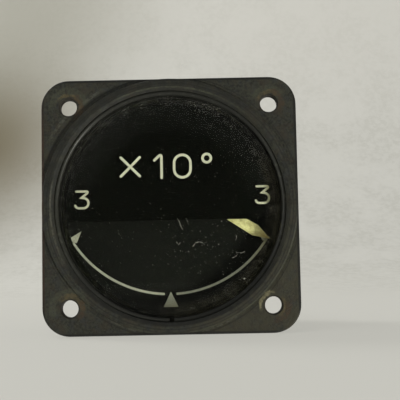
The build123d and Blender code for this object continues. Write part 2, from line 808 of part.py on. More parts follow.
strap_inner = park_width / 2 + fixed_clearance
strap_top = rear_bridge_front - park_depth - fixed_clearance
with BuildPart() as parking_strap:
    with BuildSketch(Plane.XY.offset(pivot_height)):
        with BuildLine():
            Polyline(
                (parking_radius - strap_inner - parking_strap_foot, rear_bridge_front),
                (parking_radius - strap_inner, rear_bridge_front),
                (parking_radius - strap_inner, strap_top),
                (parking_radius + strap_inner, strap_top),
                (parking_radius + strap_inner, rear_bridge_front),
                (parking_radius + strap_inner + parking_strap_foot, rear_bridge_front),
                (parking_radius + strap_inner + parking_strap_foot,
                 rear_bridge_front - parking_strap_thickness),
                (parking_radius + strap_inner + parking_strap_thickness,
                 rear_bridge_front - parking_strap_thickness),
                (parking_radius + strap_inner + parking_strap_thickness,
                 strap_top - parking_strap_thickness),
                (parking_radius - strap_inner - parking_strap_thickness,
                 strap_top - parking_strap_thickness),
                (parking_radius - strap_inner - parking_strap_thickness,
                 rear_bridge_front - parking_strap_thickness),
                (parking_radius - strap_inner - parking_strap_foot,
                 rear_bridge_front - parking_strap_thickness),
                close=True)
        make_face()
    extrude(amount=parking_strap_width / 2, both=True)
save(parking_strap, "parking_strap")

# Rotor: spindle, magnet, stop arm, hub, pointer and balance weights turn together
spindle_front = pointer_front - spindle_overhang
nose_back = bush_back + spindle_shoulder_gap
tail_start = pivot_tip - spindle_tail_length
with BuildPart() as spindle:
    turned([
        (0, spindle_front),
        (journal_diameter / 2, spindle_front),
        (journal_diameter / 2, nose_back),
        (spindle_diameter / 2, nose_back),
        (spindle_diameter / 2, tail_start),
        (pivot_diameter / 2, tail_start + spindle_tail_cone),
        (pivot_diameter / 2, pivot_tip - pivot_diameter / 2),
        (0, pivot_tip),
    ], spindle_section, spindle_axis)
save(spindle, "spindle")

with BuildPart() as rotor_magnet:
    with BuildSketch(along_pointer(magnet_front + magnet_length)):
        Circle(magnet_diameter / 2)
        Rectangle(magnet_diameter, magnet_diameter - 2 * magnet_flat_depth, mode=Mode.INTERSECT)
        Circle(spindle_diameter / 2 + fixed_clearance, mode=Mode.SUBTRACT)
    extrude(amount=magnet_length)
save(rotor_magnet, "rotor_magnet")

with BuildPart() as stop_arm:
    with BuildSketch(along_pointer(stop_arm_front + stop_arm_thickness)):
        Circle(stop_arm_hub_diameter / 2)
        Rectangle(stop_arm_length, stop_arm_width, align=(Align.MIN, Align.CENTER))
        Circle(spindle_diameter / 2 + fixed_clearance, mode=Mode.SUBTRACT)
    extrude(amount=stop_arm_thickness)
save(stop_arm, "stop_arm")

# Each stop pin stands where the side of the arm meets it at the end of the swing
stop_contact = (stop_arm_width + stop_pin_diameter) / 2 + stop_gap
stop_offset = degrees(asin(stop_contact / stop_radius))
stop_angles = [rest_angle - 90 + stop_offset, rest_angle - 90 - swing_angle - stop_offset]
with BuildPart() as stop_pins:
    with BuildSketch(on_spindle(front_bridge_back + stop_pin_length)):
        with Locations(*polar_places(stop_radius, stop_angles)):
            Circle(stop_pin_diameter / 2)
    extrude(amount=stop_pin_length)
save(stop_pins, "stop_pins")

with BuildPart() as pointer_hub:
    turned([
        (journal_diameter / 2 + fixed_clearance, pointer_front),
        (hub_nose_diameter / 2, pointer_front),
        (hub_nose_diameter / 2, pointer_back),
        (hub_flange_diameter / 2, pointer_back),
        (hub_flange_diameter / 2, pointer_back + hub_flange_thickness),
        (hub_nose_diameter / 2, pointer_back + hub_flange_thickness),
        (hub_nose_diameter / 2, hub_back),
        (journal_diameter / 2 + fixed_clearance, hub_back),
    ], spindle_section, spindle_axis)
save(pointer_hub, "pointer_hub")

# Pointer: a ridged blade with an eye for the hub, a tail and two short side arms
with BuildPart() as pointer:
    with BuildSketch(along_pointer(pointer_back)):
        with BuildLine():
            Polyline(
                (0, -pointer_arm_width / 2),
                (pointer_root_radius, -pointer_root_width / 2),
                (pointer_shoulder_radius, -pointer_shoulder_width / 2),
                (pointer_tip_radius, 0),
                (pointer_shoulder_radius, pointer_shoulder_width / 2),
                (pointer_root_radius, pointer_root_width / 2),
                (0, pointer_arm_width / 2),
                close=True)
        make_face()
    extrude(amount=pointer_thickness + pointer_ridge_height)
    with BuildSketch(Plane(origin=(0, pointer_back, pivot_height),
                           x_dir=along_pointer(0).y_dir, z_dir=along_pointer(0).x_dir)):
        with BuildLine():
            half = pointer_shoulder_width / 2
            Polyline((-half, 0), (half, 0), (half, pointer_thickness),
                     (0, pointer_thickness + pointer_ridge_height), (-half, pointer_thickness),
                     close=True)
        make_face()
    extrude(amount=pointer_tip_radius, mode=Mode.INTERSECT)
    with BuildSketch(along_pointer(pointer_back)):
        Circle(pointer_eye_diameter / 2)
        Rectangle(2 * tail_length, pointer_arm_width)
        with Locations((tail_length, 0)):
            Rectangle(2 * tail_length, 2 * pointer_arm_width, mode=Mode.SUBTRACT)
        Circle(pointer_eye_diameter / 2)
        Rectangle(pointer_arm_width, 2 * side_arm_length)
    extrude(amount=pointer_thickness)
    with BuildSketch(along_pointer(pointer_back)):
        Circle(hub_nose_diameter / 2 + fixed_clearance)
    extrude(amount=pointer_thickness + pointer_ridge_height, mode=Mode.SUBTRACT)
save(pointer, "pointer")

# Balance weights: small collars slid along the tail and the side arms
with BuildPart() as balance_weights:
    for x, y, turn in ((weight_length - tail_length, 0, 0), (0, side_arm_length - weight_length, 90),
                       (0, weight_length - side_arm_length, 90)):
        with BuildSketch(along_pointer(pointer_back + weight_wall)):
            with Locations((x, y)):
                Rectangle(weight_length, weight_width, rotation=turn)
        extrude(amount=pointer_thickness + 2 * weight_wall)
        with BuildSketch(along_pointer(pointer_back + fixed_clearance)):
            with Locations((x, y)):
                Rectangle(weight_length, pointer_arm_width + 2 * fixed_clearance, rotation=turn)
        extrude(amount=pointer_thickness + 2 * fixed_clearance, mode=Mode.SUBTRACT)
save(balance_weights, "balance_weights")

# Terminal board with its standoffs, lugs and bobbin resistors
lug_places = [((index - (lug_count - 1) / 2) * lug_spacing, -board_drop - lug_drop)
              for index in range(lug_count)]
with BuildPart() as board_standoffs:
    hex_posts(standoff_places, standoff_diameter, base_back, board_front,
              screw_small[0] + 2 * fixed_clearance)
save(board_standoffs, "board_standoffs")

with BuildPart() as terminal_board:
    with BuildSketch(at_depth(board_back)):
        with Locations((0, -board_drop)):
            RectangleRounded(2 * (standoff_offset + standoff_inset), board_height,
                             board_corner_radius)
    extrude(amount=board_thickness)
    drilled(standoff_places, screw_small[0] + 2 * screw_hole_slack, board_front, board_back)
    drilled(lug_places, lug_diameter + 2 * fixed_clearance, board_front, board_back)
save(terminal_board, "terminal_board")

with BuildPart() as board_screws:
    screws_facing(standoff_places, screw_small, board_back, board_thickness + thread_depth,
                  towards_front=False)
save(board_screws, "board_screws")

with BuildPart() as solder_lugs:
    with BuildSketch(at_depth(board_back + lug_height)):
        with Locations(*lug_places):
            Circle(lug_diameter / 2)
    extrude(amount=lug_height + board_thickness + lug_collar_thickness)
    for depth in (board_back + lug_collar_thickness, board_front):
        with BuildSketch(at_depth(depth)):
            with Locations(*lug_places):
                Circle(lug_collar_diameter / 2)
        extrude(amount=lug_collar_thickness)
save(solder_lugs, "solder_lugs")

with BuildPart() as trim_resistors:
    resistor_height = -board_drop + resistor_rise
    resistor_depth = board_front - resistor_diameter / 2
    for left in (-resistor_gap / 2 - resistor_length, resistor_gap / 2):
        left_end = Plane(origin=(left, resistor_depth, resistor_height),
                         x_dir=(0, 1, 0), z_dir=(1, 0, 0))
        with BuildSketch(left_end):
            Circle(resistor_diameter / 2 - resistor_flange_height)
        extrude(amount=resistor_length)
        for start in (0, resistor_length - resistor_flange_thickness):
            with BuildSketch(left_end.offset(start)):
                Circle(resistor_diameter / 2)
            extrude(amount=resistor_flange_thickness)
save(trim_resistors, "trim_resistors")

# Rear cover on its gasket, held by four screws in moulded-in inserts
with BuildPart() as thread_inserts:
    with BuildSketch(at_depth(barrel_length)):
        with Locations(*cover_screw_places):
            Circle(insert_diameter / 2 - fixed_clearance)
        with Locations(*cover_screw_places):
            Circle(screw_large[0] / 2 + fixed_clearance, mode=Mode.SUBTRACT)
    extrude(amount=insert_length)
save(thread_inserts, "thread_inserts")

with BuildPart() as rear_gasket:
    turned(ring_outline(cover_screw_radius - rear_gasket_margin, rear_cover_radius,
                        barrel_length, cover_front))
    drilled(cover_screw_places, screw_large[0] + 2 * screw_hole_slack, barrel_length, cover_front)
save(rear_gasket, "rear_gasket")

connector_screw_places = [(x * connector_screw_reach, z * connector_screw_reach)
                          for x in (-1, 1) for z in (-1, 1)]
with BuildPart() as rear_cover:
    turned([
        (0, cover_front),
        (rear_cover_radius, cover_front),
        (rear_cover_radius, cover_back - rear_cover_edge),
        (rear_cover_radius - rear_cover_edge, cover_back),
        (cover_seat_radius + cover_seat_slope, cover_back),
        (cover_seat_radius, connector_seat),
        (0, connector_seat),
    ])
    drilled([(0, 0)], 2 * connector_hole_radius, cover_front, connector_seat)
    drilled(cover_screw_places, screw_large[0] + 2 * screw_hole_slack, cover_front, cover_back)
    drilled(connector_screw_places, screw_mid[0] + 2 * fixed_clearance,
            cover_front, connector_seat)
save(rear_cover, "rear_cover")

with BuildPart() as rear_cover_screws:
    screws_facing(cover_screw_places, screw_large, cover_back,
                  rear_cover_thickness + rear_gasket_thickness + insert_length - screw_end_gap,
                  towards_front=False)
save(rear_cover_screws, "rear_cover_screws")

with BuildPart() as connector_gasket:
    with BuildSketch(at_depth(connector_flange_front)):
        RectangleRounded(connector_flange_width, connector_flange_width, connector_flange_corner)
        Circle(connector_hole_radius, mode=Mode.SUBTRACT)
        with Locations(*connector_screw_places):
            Circle(screw_mid[0] / 2 + screw_hole_slack, mode=Mode.SUBTRACT)
    extrude(amount=connector_gasket_thickness)
save(connector_gasket, "connector_gasket")

# Connector: flanged shell with an inner key, insulating disc and five pins
with BuildPart() as connector_shell:
    with BuildSketch(at_depth(connector_flange_back)):
        RectangleRounded(connector_flange_width, connector_flange_width, connector_flange_corner)
        with Locations(*connector_screw_places):
            Circle(screw_mid[0] / 2 + screw_hole_slack, mode=Mode.SUBTRACT)
    extrude(amount=connector_flange_thickness)
    turned([
        (0, disc_front),
        (shell_tail_radius, disc_front),
        (shell_tail_radius, connector_flange_front),
        (shell_diameter / 2, connector_flange_front),
        (shell_diameter / 2, shell_end - shell_mouth_chamfer),
        (shell_diameter / 2 - shell_mouth_chamfer, shell_end),
        (0, shell_end),
    ])
    turned(ring_outline(0, shell_bore_radius, disc_front, shell_end), mode=Mode.SUBTRACT)
    with BuildSketch(at_depth(shell_end - shell_key_setback)):
        with Locations((0, shell_bore_radius)):
            Rectangle(shell_key_width, 2 * shell_key_height)
        Circle(shell_diameter / 2 - shell_mouth_chamfer, mode=Mode.INTERSECT)
    extrude(amount=shell_end - shell_key_setback - disc_back)
save(connector_shell, "connector_shell")

pin_angles = [90 + index * 360 / pin_count for index in range(pin_count)]
pin_places = polar_places(pin_circle_diameter / 2, pin_angles)
with BuildPart() as connector_disc:
    turned(ring_outline(0, shell_bore_radius - fixed_clearance, disc_front, disc_back))
    drilled(pin_places, pin_diameter + 2 * fixed_clearance, disc_front, disc_back)
save(connector_disc, "connector_disc")

with BuildPart() as connector_pins:
    with BuildSketch(at_depth(shell_end - pin_recess)):
        with Locations(*pin_places):
            Circle(pin_diameter / 2)
    extrude(amount=shell_end - pin_recess - disc_front)
    fillet(faces().sort_by(Axis.Y)[-pin_count:].edges(), pin_tip_radius)
    with BuildSketch(at_depth(disc_front)):
        with Locations(*pin_places):
            Circle(solder_cup_diameter / 2)
    extrude(amount=solder_cup_length)
    with BuildSketch(at_depth(disc_front - solder_cup_length + solder_cup_depth)):
        with Locations(*pin_places):
            Circle(solder_cup_hole / 2)
    extrude(amount=solder_cup_depth, mode=Mode.SUBTRACT)
save(connector_pins, "connector_pins")

with BuildPart() as connector_screws:
    screws_facing(connector_screw_places, screw_mid, connector_flange_back,
                  connector_flange_thickness + connector_gasket_thickness + cover_seat_height
                  + rear_cover_thickness - screw_end_gap, towards_front=False)
save(connector_screws, "connector_screws")
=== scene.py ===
"""Bank indicator: finishes, printed marks, dust, connector thread, paper sweep, lamps and camera.

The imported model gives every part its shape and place. This script gives each part the finish of
the real material, and adds what is too fine for the model: the printed marks, the dust on the
glass and the connector's thread. Pieces and lamps are placed in metres. Patterns and drawn marks
are in mm, and MM turns them into metres. Directions round a line along y are in degrees, 0 to
the right and 90 up as seen from the front.
"""

import json
import math
import random

import bmesh
import bpy
from mathutils import Matrix, Vector


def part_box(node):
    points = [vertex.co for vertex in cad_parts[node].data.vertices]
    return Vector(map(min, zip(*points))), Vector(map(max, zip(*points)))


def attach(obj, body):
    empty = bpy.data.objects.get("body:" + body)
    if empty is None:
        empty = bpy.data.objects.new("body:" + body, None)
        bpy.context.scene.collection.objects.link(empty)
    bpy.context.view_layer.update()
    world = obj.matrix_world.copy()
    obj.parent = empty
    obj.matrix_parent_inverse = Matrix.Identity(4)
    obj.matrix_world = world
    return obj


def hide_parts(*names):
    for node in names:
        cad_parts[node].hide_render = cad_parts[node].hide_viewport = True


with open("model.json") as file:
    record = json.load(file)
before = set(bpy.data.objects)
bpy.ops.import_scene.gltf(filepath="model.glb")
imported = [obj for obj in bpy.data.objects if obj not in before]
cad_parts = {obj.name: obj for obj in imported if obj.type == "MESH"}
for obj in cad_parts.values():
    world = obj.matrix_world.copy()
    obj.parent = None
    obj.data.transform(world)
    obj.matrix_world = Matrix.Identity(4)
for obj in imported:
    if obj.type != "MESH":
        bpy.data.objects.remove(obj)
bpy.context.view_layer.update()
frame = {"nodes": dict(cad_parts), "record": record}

MM = 0.001

# Faces that carry something, in metres
COVER_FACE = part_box("cover_plate")[0].y
DIAL_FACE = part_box("dial_plate")[0].y
GLASS_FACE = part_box("glass")[0].y
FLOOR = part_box("housing")[0].z - 0.1 * MM

# Sizes of the case and the printed marks, in mm
PIVOT_HEIGHT = 6.3           # spindle above the middle of the flange
FLANGE_HALF = 30.0
FLANGE_FACE = -3.0
HOLE_OFFSET = 23.6           # flange holes from the middle, both ways
HOLE_RADIUS = 2.05
BOSS_RADIUS = 29.85
MOUTH_EDGE = 28.05           # outer edge of the bevel round the mouth
SCALE_RADIUS = 27.37
SCALE_STROKE = 0.55
SCALE_SHIFT = -0.42          # the scale is printed a little to the left of the spindle and above it
SCALE_LIFT = 0.36
SCALE_END = 57.6             # degrees either side of straight down
NUMBER_STROKE = 0.6
SIDE_STROKE = 0.52
PRINT = 0.05                 # thickness of the printed enamel
DUST = 0.02                  # thickness of what sticks to the glass
SHELL_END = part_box("connector_shell")[1].y / MM
THREAD_LENGTH = 10.5
THREAD_ROOT = 8.97
THREAD_CREST = 9.4


# Colours and nodes
def tint(code):
    """An sRGB hex colour as the linear values that a shader works with."""
    channels = [int(code[i:i + 2], 16) / 255 for i in (1, 3, 5)]
    linear = [c / 12.92 if c <= 0.04045 else ((c + 0.055) / 1.055) ** 2.4 for c in channels]
    return (*linear, 1.0)


def add(tree, kind, inputs, out=0, **settings):
    """Adds one node and gives back an output of it. inputs are values, or outputs to link."""
    node = tree.nodes.new("ShaderNode" + kind)
    for name, value in settings.items():
        setattr(node, name, value)
    for socket, value in inputs.items():
        if isinstance(value, bpy.types.NodeSocket):
            tree.links.new(value, node.inputs[socket])
        else:
            node.inputs[socket].default_value = value
    return node.outputs[out] if node.outputs else node


def bare(name):
    """A material with no nodes yet: itself, its tree, and the place on the piece in mm."""
    material = bpy.data.materials.new(name)
    material.use_nodes = True
    tree = material.node_tree
    tree.nodes.clear()
    metres = add(tree, "TexCoord", {}, out="Object")
    place = add(tree, "VectorMath", {0: metres, "Scale": 1 / MM}, operation="SCALE")
    return material, tree, place


def blotches(tree, place, size, start=0.35, end=0.65, low=0.0, high=1.0):
    """Soft blotches about size mm across, which run from low to high.

    They begin where the noise is start and are full where it is end.
    """
    noise = add(tree, "TexNoise", {"Vector": place, "Scale": 1 / size, "Detail": 4.0, "Roughness": 0.65})
    return add(tree, "MapRange", {
        "Value": noise, "From Min": start, "From Max": end, "To Min": low, "To Max": high},
        interpolation_type="SMOOTHSTEP")


def patches(tree, place, coat, colour, size, start, end, share=1.0, where=1.0):
    """Lays blotches of another colour over a coat. share is how much a full blotch covers, and
    where is a mask that keeps them to one region."""
    ragged = blotches(tree, place, size, start, end, 0.0, share)
    mask = add(tree, "Math", {0: ragged, 1: where}, operation="MULTIPLY")
    return add(tree, "Mix", {0: mask, 6: coat, 7: tint(colour)}, out=2, data_type="RGBA")


def round_line(tree, place, centre=(0.0, 0.0)):
    """Distance in mm from a line along y through centre, and direction round it in degrees."""
    off = add(tree, "VectorMath", {0: place, 1: (centre[0], 0.0, centre[1])}, operation="SUBTRACT")
    flat = add(tree, "VectorMath", {0: off, 1: (1.0, 0.0, 1.0)}, operation="MULTIPLY")
    distance = add(tree, "VectorMath", {0: flat}, out="Value", operation="LENGTH")
    x, _, z = add(tree, "SeparateXYZ", {0: flat}).node.outputs
    angle = add(tree, "Math", {0: z, 1: x}, operation="ARCTAN2")
    return distance, add(tree, "Math", {0: angle, 1: math.degrees(1)}, operation="MULTIPLY")


def band(tree, distance, start, end, soft):
    """1 between start and end, falling to 0 over soft on both sides, all in mm."""
    rise = add(tree, "MapRange", {
        "Value": distance, "From Min": start - soft, "From Max": start}, interpolation_type="SMOOTHSTEP")
    fall = add(tree, "MapRange", {
        "Value": distance, "From Min": end + soft, "From Max": end}, interpolation_type="SMOOTHSTEP")
    return add(tree, "Math", {0: rise, 1: fall}, operation="MULTIPLY")


def toward(tree, direction, middle, spread, soft=14.0):
    """1 within spread degrees of the direction middle, falling to 0 over soft degrees beyond."""
    off = add(tree, "Math", {0: direction, 1: middle}, operation="SUBTRACT")
    turned = add(tree, "Math", {0: off, 1: 180.0, 2: -180.0}, operation="WRAP")
    apart = add(tree, "Math", {0: turned}, operation="ABSOLUTE")
    return add(tree, "MapRange", {
        "Value": apart, "From Min": spread + soft, "From Max": spread}, interpolation_type="SMOOTHSTEP")


# Finishes of the case and what shows through the glass
SAGE, OCHRE, RUST, CREAM, PALE = "#3F4134", "#564D34", "#3F3122", "#8A8566", "#5A5A50"
# the paint round each hole, as its screw left it: which hole, and for each mark the colour,
# middle direction, spread, inner and outer radius in mm
SCREW_MARKS = (
    ((-1, 1), ((SAGE, 95, 75, 3.2, 4.6), (OCHRE, 60, 70, 2.7, 3.1), (RUST, 0, 45, 2.5, 3.5))),
    ((1, 1), ((SAGE, 95, 45, 3.2, 4.2), (OCHRE, 100, 45, 2.5, 3.1), (RUST, 25, 40, 2.5, 3.5))),
    ((-1, -1), ((SAGE, 100, 90, 3.4, 4.6), (OCHRE, 65, 60, 2.6, 3.3), (RUST, -5, 30, 2.6, 3.4))),
    ((1, -1), ((CREAM, 143, 38, 2.9, 3.2), (OCHRE, -12, 35, 2.4, 2.9), (RUST, -35, 35, 3.0, 4.0))),
)
# where handling has rubbed or chipped the paint, and painted highlights along the mouth's edge
# where its bevel catches the light: colour, middle direction, spread, inner and outer radius in
# mm, and how much it covers
WEAR_AND_HIGHLIGHTS = (
    # the first four, on the mouth's edge from 27.8 to 28.0 mm, are painted highlights
    (PALE, 178, 5, 27.8, 28.0, 0.6), (PALE, 197, 8, 27.8, 28.0, 0.4),
    (SAGE, 92, 20, 27.8, 28.0, 0.7), (SAGE, 62, 12, 27.8, 28.0, 0.5),
    (SAGE, -35, 22, 29.6, 30.0, 0.8), (PALE, -67, 6, 29.9, 30.2, 0.6),
    (PALE, -110, 5, 29.9, 30.2, 0.6), (SAGE, -88, 16, 29.6, 29.9, 0.7),
    (PALE, 144, 2, 32.0, 32.5, 0.5), (PALE, 127, 2, 31.4, 31.9, 0.5),
)


def sprayed_phenolic():
    """Moulded phenolic, sprayed matt charcoal: a fine pebbled film, clouded olive, blue-grey and
    brown by dust and old grease. It is darker at the top of the boss and down in the mouth.

    Screw heads have bruised the paint round the holes, and its edges are rubbed. Painted
    highlights lie along the mouth's edge, and painted shade darkens the bottom of the mouth,
    the outer edges and the walls of the holes. Blotches towards the lower right are painted
    light, on the low lamp's side.
    """
    material, tree, place = bare("sprayed phenolic")
    radius, direction = round_line(tree, place)
    x, y, z = add(tree, "SeparateXYZ", {0: place}).node.outputs
    noise = add(tree, "TexNoise", {"Vector": place, "Scale": 1 / 0.6, "Detail": 3.0, "Roughness": 0.7})
    film = add(tree, "MapRange", {"Value": noise, "From Min": 0.38, "From Max": 0.62})
    coat = add(tree, "Mix", {0: film, 6: tint("#151610"), 7: tint("#36372D")}, out=2, data_type="RGBA")
    for colour, size, share in (("#3B3C30", 3.6, 0.5), ("#2D3032", 1.5, 0.5), ("#352C20", 2.3, 0.4)):
        coat = patches(tree, place, coat, colour, size, 0.45, 0.66, share)
    # painted light: lighter olive blotches towards the lower right, where the low lamp stands
    lamp_side_light = toward(tree, direction, -45, 20, 30)
    coat = patches(tree, place, coat, "#3D3B2C", 1.9, 0.3, 0.65, 0.6, lamp_side_light)

    # a cloth wiped round and round has left faint darker rings about the boss
    wiped = add(tree, "TexNoise", {
        "W": radius, "Scale": 1 / 0.5, "Detail": 1.0}, noise_dimensions="1D")
    lines = add(tree, "MapRange", {"Value": wiped, "From Min": 0.5, "From Max": 0.62, "To Max": 0.55})
    about = band(tree, radius, MOUTH_EDGE - 0.6, BOSS_RADIUS + 1.0, 0.5)
    rings = add(tree, "Math", {0: lines, 1: about}, operation="MULTIPLY")
    coat = add(tree, "Mix", {0: rings, 6: coat, 7: tint("#141510")}, out=2, data_type="RGBA")
    boss = add(tree, "MapRange", {"Value": radius, "From Min": BOSS_RADIUS, "From Max": BOSS_RADIUS - 0.4})
    upper = toward(tree, direction, 110, 50, 30)
    crown = add(tree, "Math", {0: upper, 1: boss}, operation="MULTIPLY")
    coat = patches(tree, place, coat, "#171813", 1.6, 0.25, 0.6, 0.65, crown)
    # painted shade: darker blotches down in the bottom of the mouth
    lower = toward(tree, direction, -88, 50, 30)
    mouth = add(tree, "MapRange", {
        "Value": radius, "From Min": MOUTH_EDGE + 0.2, "From Max": MOUTH_EDGE - 0.2})
    mouth_shade = add(tree, "Math", {0: lower, 1: mouth}, operation="MULTIPLY")
    coat = patches(tree, place, coat, "#141511", 2.0, 0.2, 0.55, 0.8, mouth_shade)

    # rubbed and chipped paint, and the painted highlights on the mouth's edge
    for colour, middle, spread, inner, outer, share in WEAR_AND_HIGHLIGHTS:
        on_ring = band(tree, radius, inner, outer, 0.2)
        there = add(tree, "Math", {
            0: on_ring, 1: toward(tree, direction, middle, spread, 8)}, operation="MULTIPLY")
        coat = patches(tree, place, coat, colour, 0.8, 0.35, 0.6, share, there)

    # painted shade darkens the outer edges, and they are brown down the left
    across = add(tree, "Math", {0: x}, operation="ABSOLUTE")
    upright = add(tree, "Math", {0: z}, operation="ABSOLUTE")
    edge = add(tree, "Math", {0: across, 1: upright}, operation="MAXIMUM")
    rim = band(tree, edge, FLANGE_HALF - 0.4, FLANGE_HALF + 1.0, 0.4)
    coat = add(tree, "Mix", {0: rim, 6: coat, 7: tint("#171813")}, out=2, data_type="RGBA")
    brown = add(tree, "Math", {0: rim, 1: toward(tree, direction, 180, 30, 15)}, operation="MULTIPLY")
    coat = patches(tree, place, coat, "#3A2A1F", 3.0, 0.3, 0.55, 0.8, brown)

    # behind the panel nobody touches it, and the film is even
    panel = add(tree, "MapRange", {"Value": y, "From Min": 0.5, "From Max": 3.0})
    calm = add(tree, "Mix", {0: film, 6: tint("#1F201C"), 7: tint("#282924")}, out=2, data_type="RGBA")
    coat = add(tree, "Mix", {0: panel, 6: coat, 7: calm}, out=2, data_type="RGBA")

    front = add(tree, "MapRange", {"Value": y, "From Min": FLANGE_FACE + 1.0, "From Max": FLANGE_FACE + 0.3})
    for (side, height), marks in SCREW_MARKS:
        reach, around = round_line(tree, place, (side * HOLE_OFFSET, height * HOLE_OFFSET))
        # painted shade: the walls and lip of each hole darkened to a dark brown
        hole_shade = add(tree, "MapRange", {
            "Value": reach, "From Min": HOLE_RADIUS + 0.4, "From Max": HOLE_RADIUS + 0.1, "To Max": 0.7})
        coat = add(tree, "Mix", {0: hole_shade, 6: coat, 7: tint("#221D16")}, out=2, data_type="RGBA")
        wobble = blotches(tree, place, 1.6, 0.2, 0.8, -0.35, 0.35)
        ragged = add(tree, "Math", {0: reach, 1: wobble}, operation="ADD")
        for colour, middle, spread, inner, outer in marks:
            ring = band(tree, ragged, inner, outer, 0.35)
            part = add(tree, "Math", {
                0: ring, 1: toward(tree, around, middle, spread, 30)}, operation="MULTIPLY")
            there = add(tree, "Math", {0: part, 1: front}, operation="MULTIPLY")
            coat = patches(tree, place, coat, colour, 0.7, 0.25, 0.65, 0.75, there)

    dull = add(tree, "MapRange", {"Value": film, "To Min": 0.56, "To Max": 0.74})
    surface = add(tree, "BsdfPrincipled", {
        "Base Color": coat, "Roughness": dull, "IOR": 1.5, "Specular IOR Level": 0.3,
        "Normal": add(tree, "Bump", {"Height": film, "Distance": 0.04 * MM})})
    add(tree, "OutputMaterial", {"Surface": surface})
    return material


def enamelled_spring_wire():
    """Steel spring wire dipped in black enamel: a thin smooth skin that shows a long highlight,
    and grey where the wire has rubbed in its groove. At the top and the bottom it is rougher,
    and painted shade darkens it there."""
    material, tree, place = bare("black enamelled spring wire")
    rubbed = blotches(tree, place, 1.4, 0.52, 0.7)
    _, direction = round_line(tree, place)
    # painted shade, with more roughness, at the top and the bottom
    shade_and_dull = add(tree, "Math", {
        0: toward(tree, direction, 82, 38, 28), 1: toward(tree, direction, -88, 48, 25)},
        operation="MAXIMUM")
    skin = add(tree, "Mix", {0: rubbed, 6: tint("#292A24"), 7: tint("#45463D")}, out=2, data_type="RGBA")
    surface = add(tree, "BsdfPrincipled", {
        "Base Color": patches(tree, place, skin, "#171812", 1.6, 0.15, 0.5, 0.85, shade_and_dull),
        "Roughness": add(tree, "MapRange", {"Value": shade_and_dull, "To Min": 0.38, "To Max": 0.8}),
        "IOR": 1.5, "Specular IOR Level": 0.45,
        "Normal": add(tree, "Bump", {"Height": rubbed, "Distance": 0.01 * MM})})
    add(tree, "OutputMaterial", {"Surface": surface})
    return material


def bloomed_plate_glass():
    """Ground plate glass, bloomed: its IOR is set low, because the bloom leaves only a tenth of
    bare glass's reflection. A thin haze of dust lies towards the rim and the top.

    Shadow rays pass, so that the dial behind it is lit as it is through a real window.
    """
    material, tree, place = bare("bloomed plate glass")
    radius, direction = round_line(tree, place)
    rim = add(tree, "MapRange", {"Value": radius, "From Min": 17.0, "From Max": 25.5})
    top = toward(tree, direction, 90, 50, 65)
    haze = add(tree, "Math", {0: blotches(tree, place, 1.3, 0.36, 0.64, 0.001, 0.009), 1: rim},
               operation="MULTIPLY")
    upper = add(tree, "Math", {0: haze, 1: top}, operation="MULTIPLY")
    # a mottled film just inside the retaining ring, as if wiped round with a cloth
    mottle = add(tree, "TexNoise", {"Vector": place, "Scale": 1 / 1.6, "Detail": 1.0, "Roughness": 0.4})
    spots = add(tree, "MapRange", {
        "Value": mottle, "From Min": 0.5, "From Max": 0.8, "To Max": 0.016}, interpolation_type="SMOOTHSTEP")
    film = add(tree, "Math", {0: band(tree, radius, 24.2, 26.5, 1.2), 1: spots}, operation="MULTIPLY")
    clean = add(tree, "Math", {0: upper, 1: film}, operation="ADD")
    # a greasy film that the cloth missed, low on the right
    missed = add(tree, "Math", {
        0: band(tree, radius, 24.0, 26.5, 2.0), 1: toward(tree, direction, -32, 45, 32)},
        operation="MULTIPLY")
    grease = add(tree, "Math", {
        0: blotches(tree, place, 1.2, 0.42, 0.6, 0.001, 0.017), 1: missed}, operation="MULTIPLY")
    dust = add(tree, "Math", {0: clean, 1: grease}, operation="ADD")
    surface = add(tree, "BsdfPrincipled", {
        "Base Color": add(tree, "Mix", {
            0: missed, 6: tint("#F6F7F2"), 7: tint("#DEDBC4")}, out=2, data_type="RGBA"),
        "Roughness": 0.0, "IOR": 1.1, "Specular IOR Level": 0.3,
        "Transmission Weight": add(tree, "Math", {0: 1.0, 1: dust}, operation="SUBTRACT")})
    clear = add(tree, "BsdfTransparent", {"Color": tint("#F6F7F2")})
    shade = add(tree, "LightPath", {}, out="Is Shadow Ray")
    add(tree, "OutputMaterial", {"Surface": add(tree, "MixShader", {0: shade, 1: surface, 2: clear})})
    return material


def moulded_rubber():
    """Nitrile rubber, moulded: soft black with no gloss and a faint grey bloom."""
    material, tree, place = bare("moulded rubber")
    bloom = blotches(tree, place, 1.5)
    surface = add(tree, "BsdfPrincipled", {
        "Base Color": add(tree, "Mix", {
            0: bloom, 6: tint("#131311"), 7: tint("#20201D")}, out=2, data_type="RGBA"),
        "Roughness": 0.85, "IOR": 1.52, "Specular IOR Level": 0.3,
        "Normal": add(tree, "Bump", {"Height": bloom, "Distance": 0.02 * MM})})
    add(tree, "OutputMaterial", {"Surface": surface})
    return material


def flat_black_enamel(name, dark, light, settled):
    """Aluminium sheet sprayed with flat black instrument enamel: it drinks light, and shows only a
    faint grain of 0.3 mm and some pale grains of dust. settled is how far finer dust clouds it."""
    material, tree, place = bare(name)
    grain = add(tree, "TexNoise", {"Vector": place, "Scale": 1 / 0.3, "Detail": 3.0})
    coat = add(tree, "Mix", {0: grain, 6: tint(dark), 7: tint(light)}, out=2, data_type="RGBA")
    coat = patches(tree, place, coat, "#2E2E24", 1.1, 0.45, 0.7, settled)
    cells = add(tree, "TexVoronoi", {"Vector": place, "Scale": 1 / 2.6}, out="Distance")
    lint = add(tree, "MapRange", {
        "Value": cells, "From Min": 0.07, "From Max": 0.04, "To Max": 0.4}, interpolation_type="SMOOTHSTEP")
    coat = add(tree, "Mix", {0: lint, 6: coat, 7: tint("#34342E")}, out=2, data_type="RGBA")
    surface = add(tree, "BsdfPrincipled", {
        "Base Color": coat, "Roughness": 0.85, "IOR": 1.45, "Specular IOR Level": 0.04,
        "Normal": add(tree, "Bump", {"Height": grain, "Distance": 0.02 * MM})})
    add(tree, "OutputMaterial", {"Surface": surface})
    return material


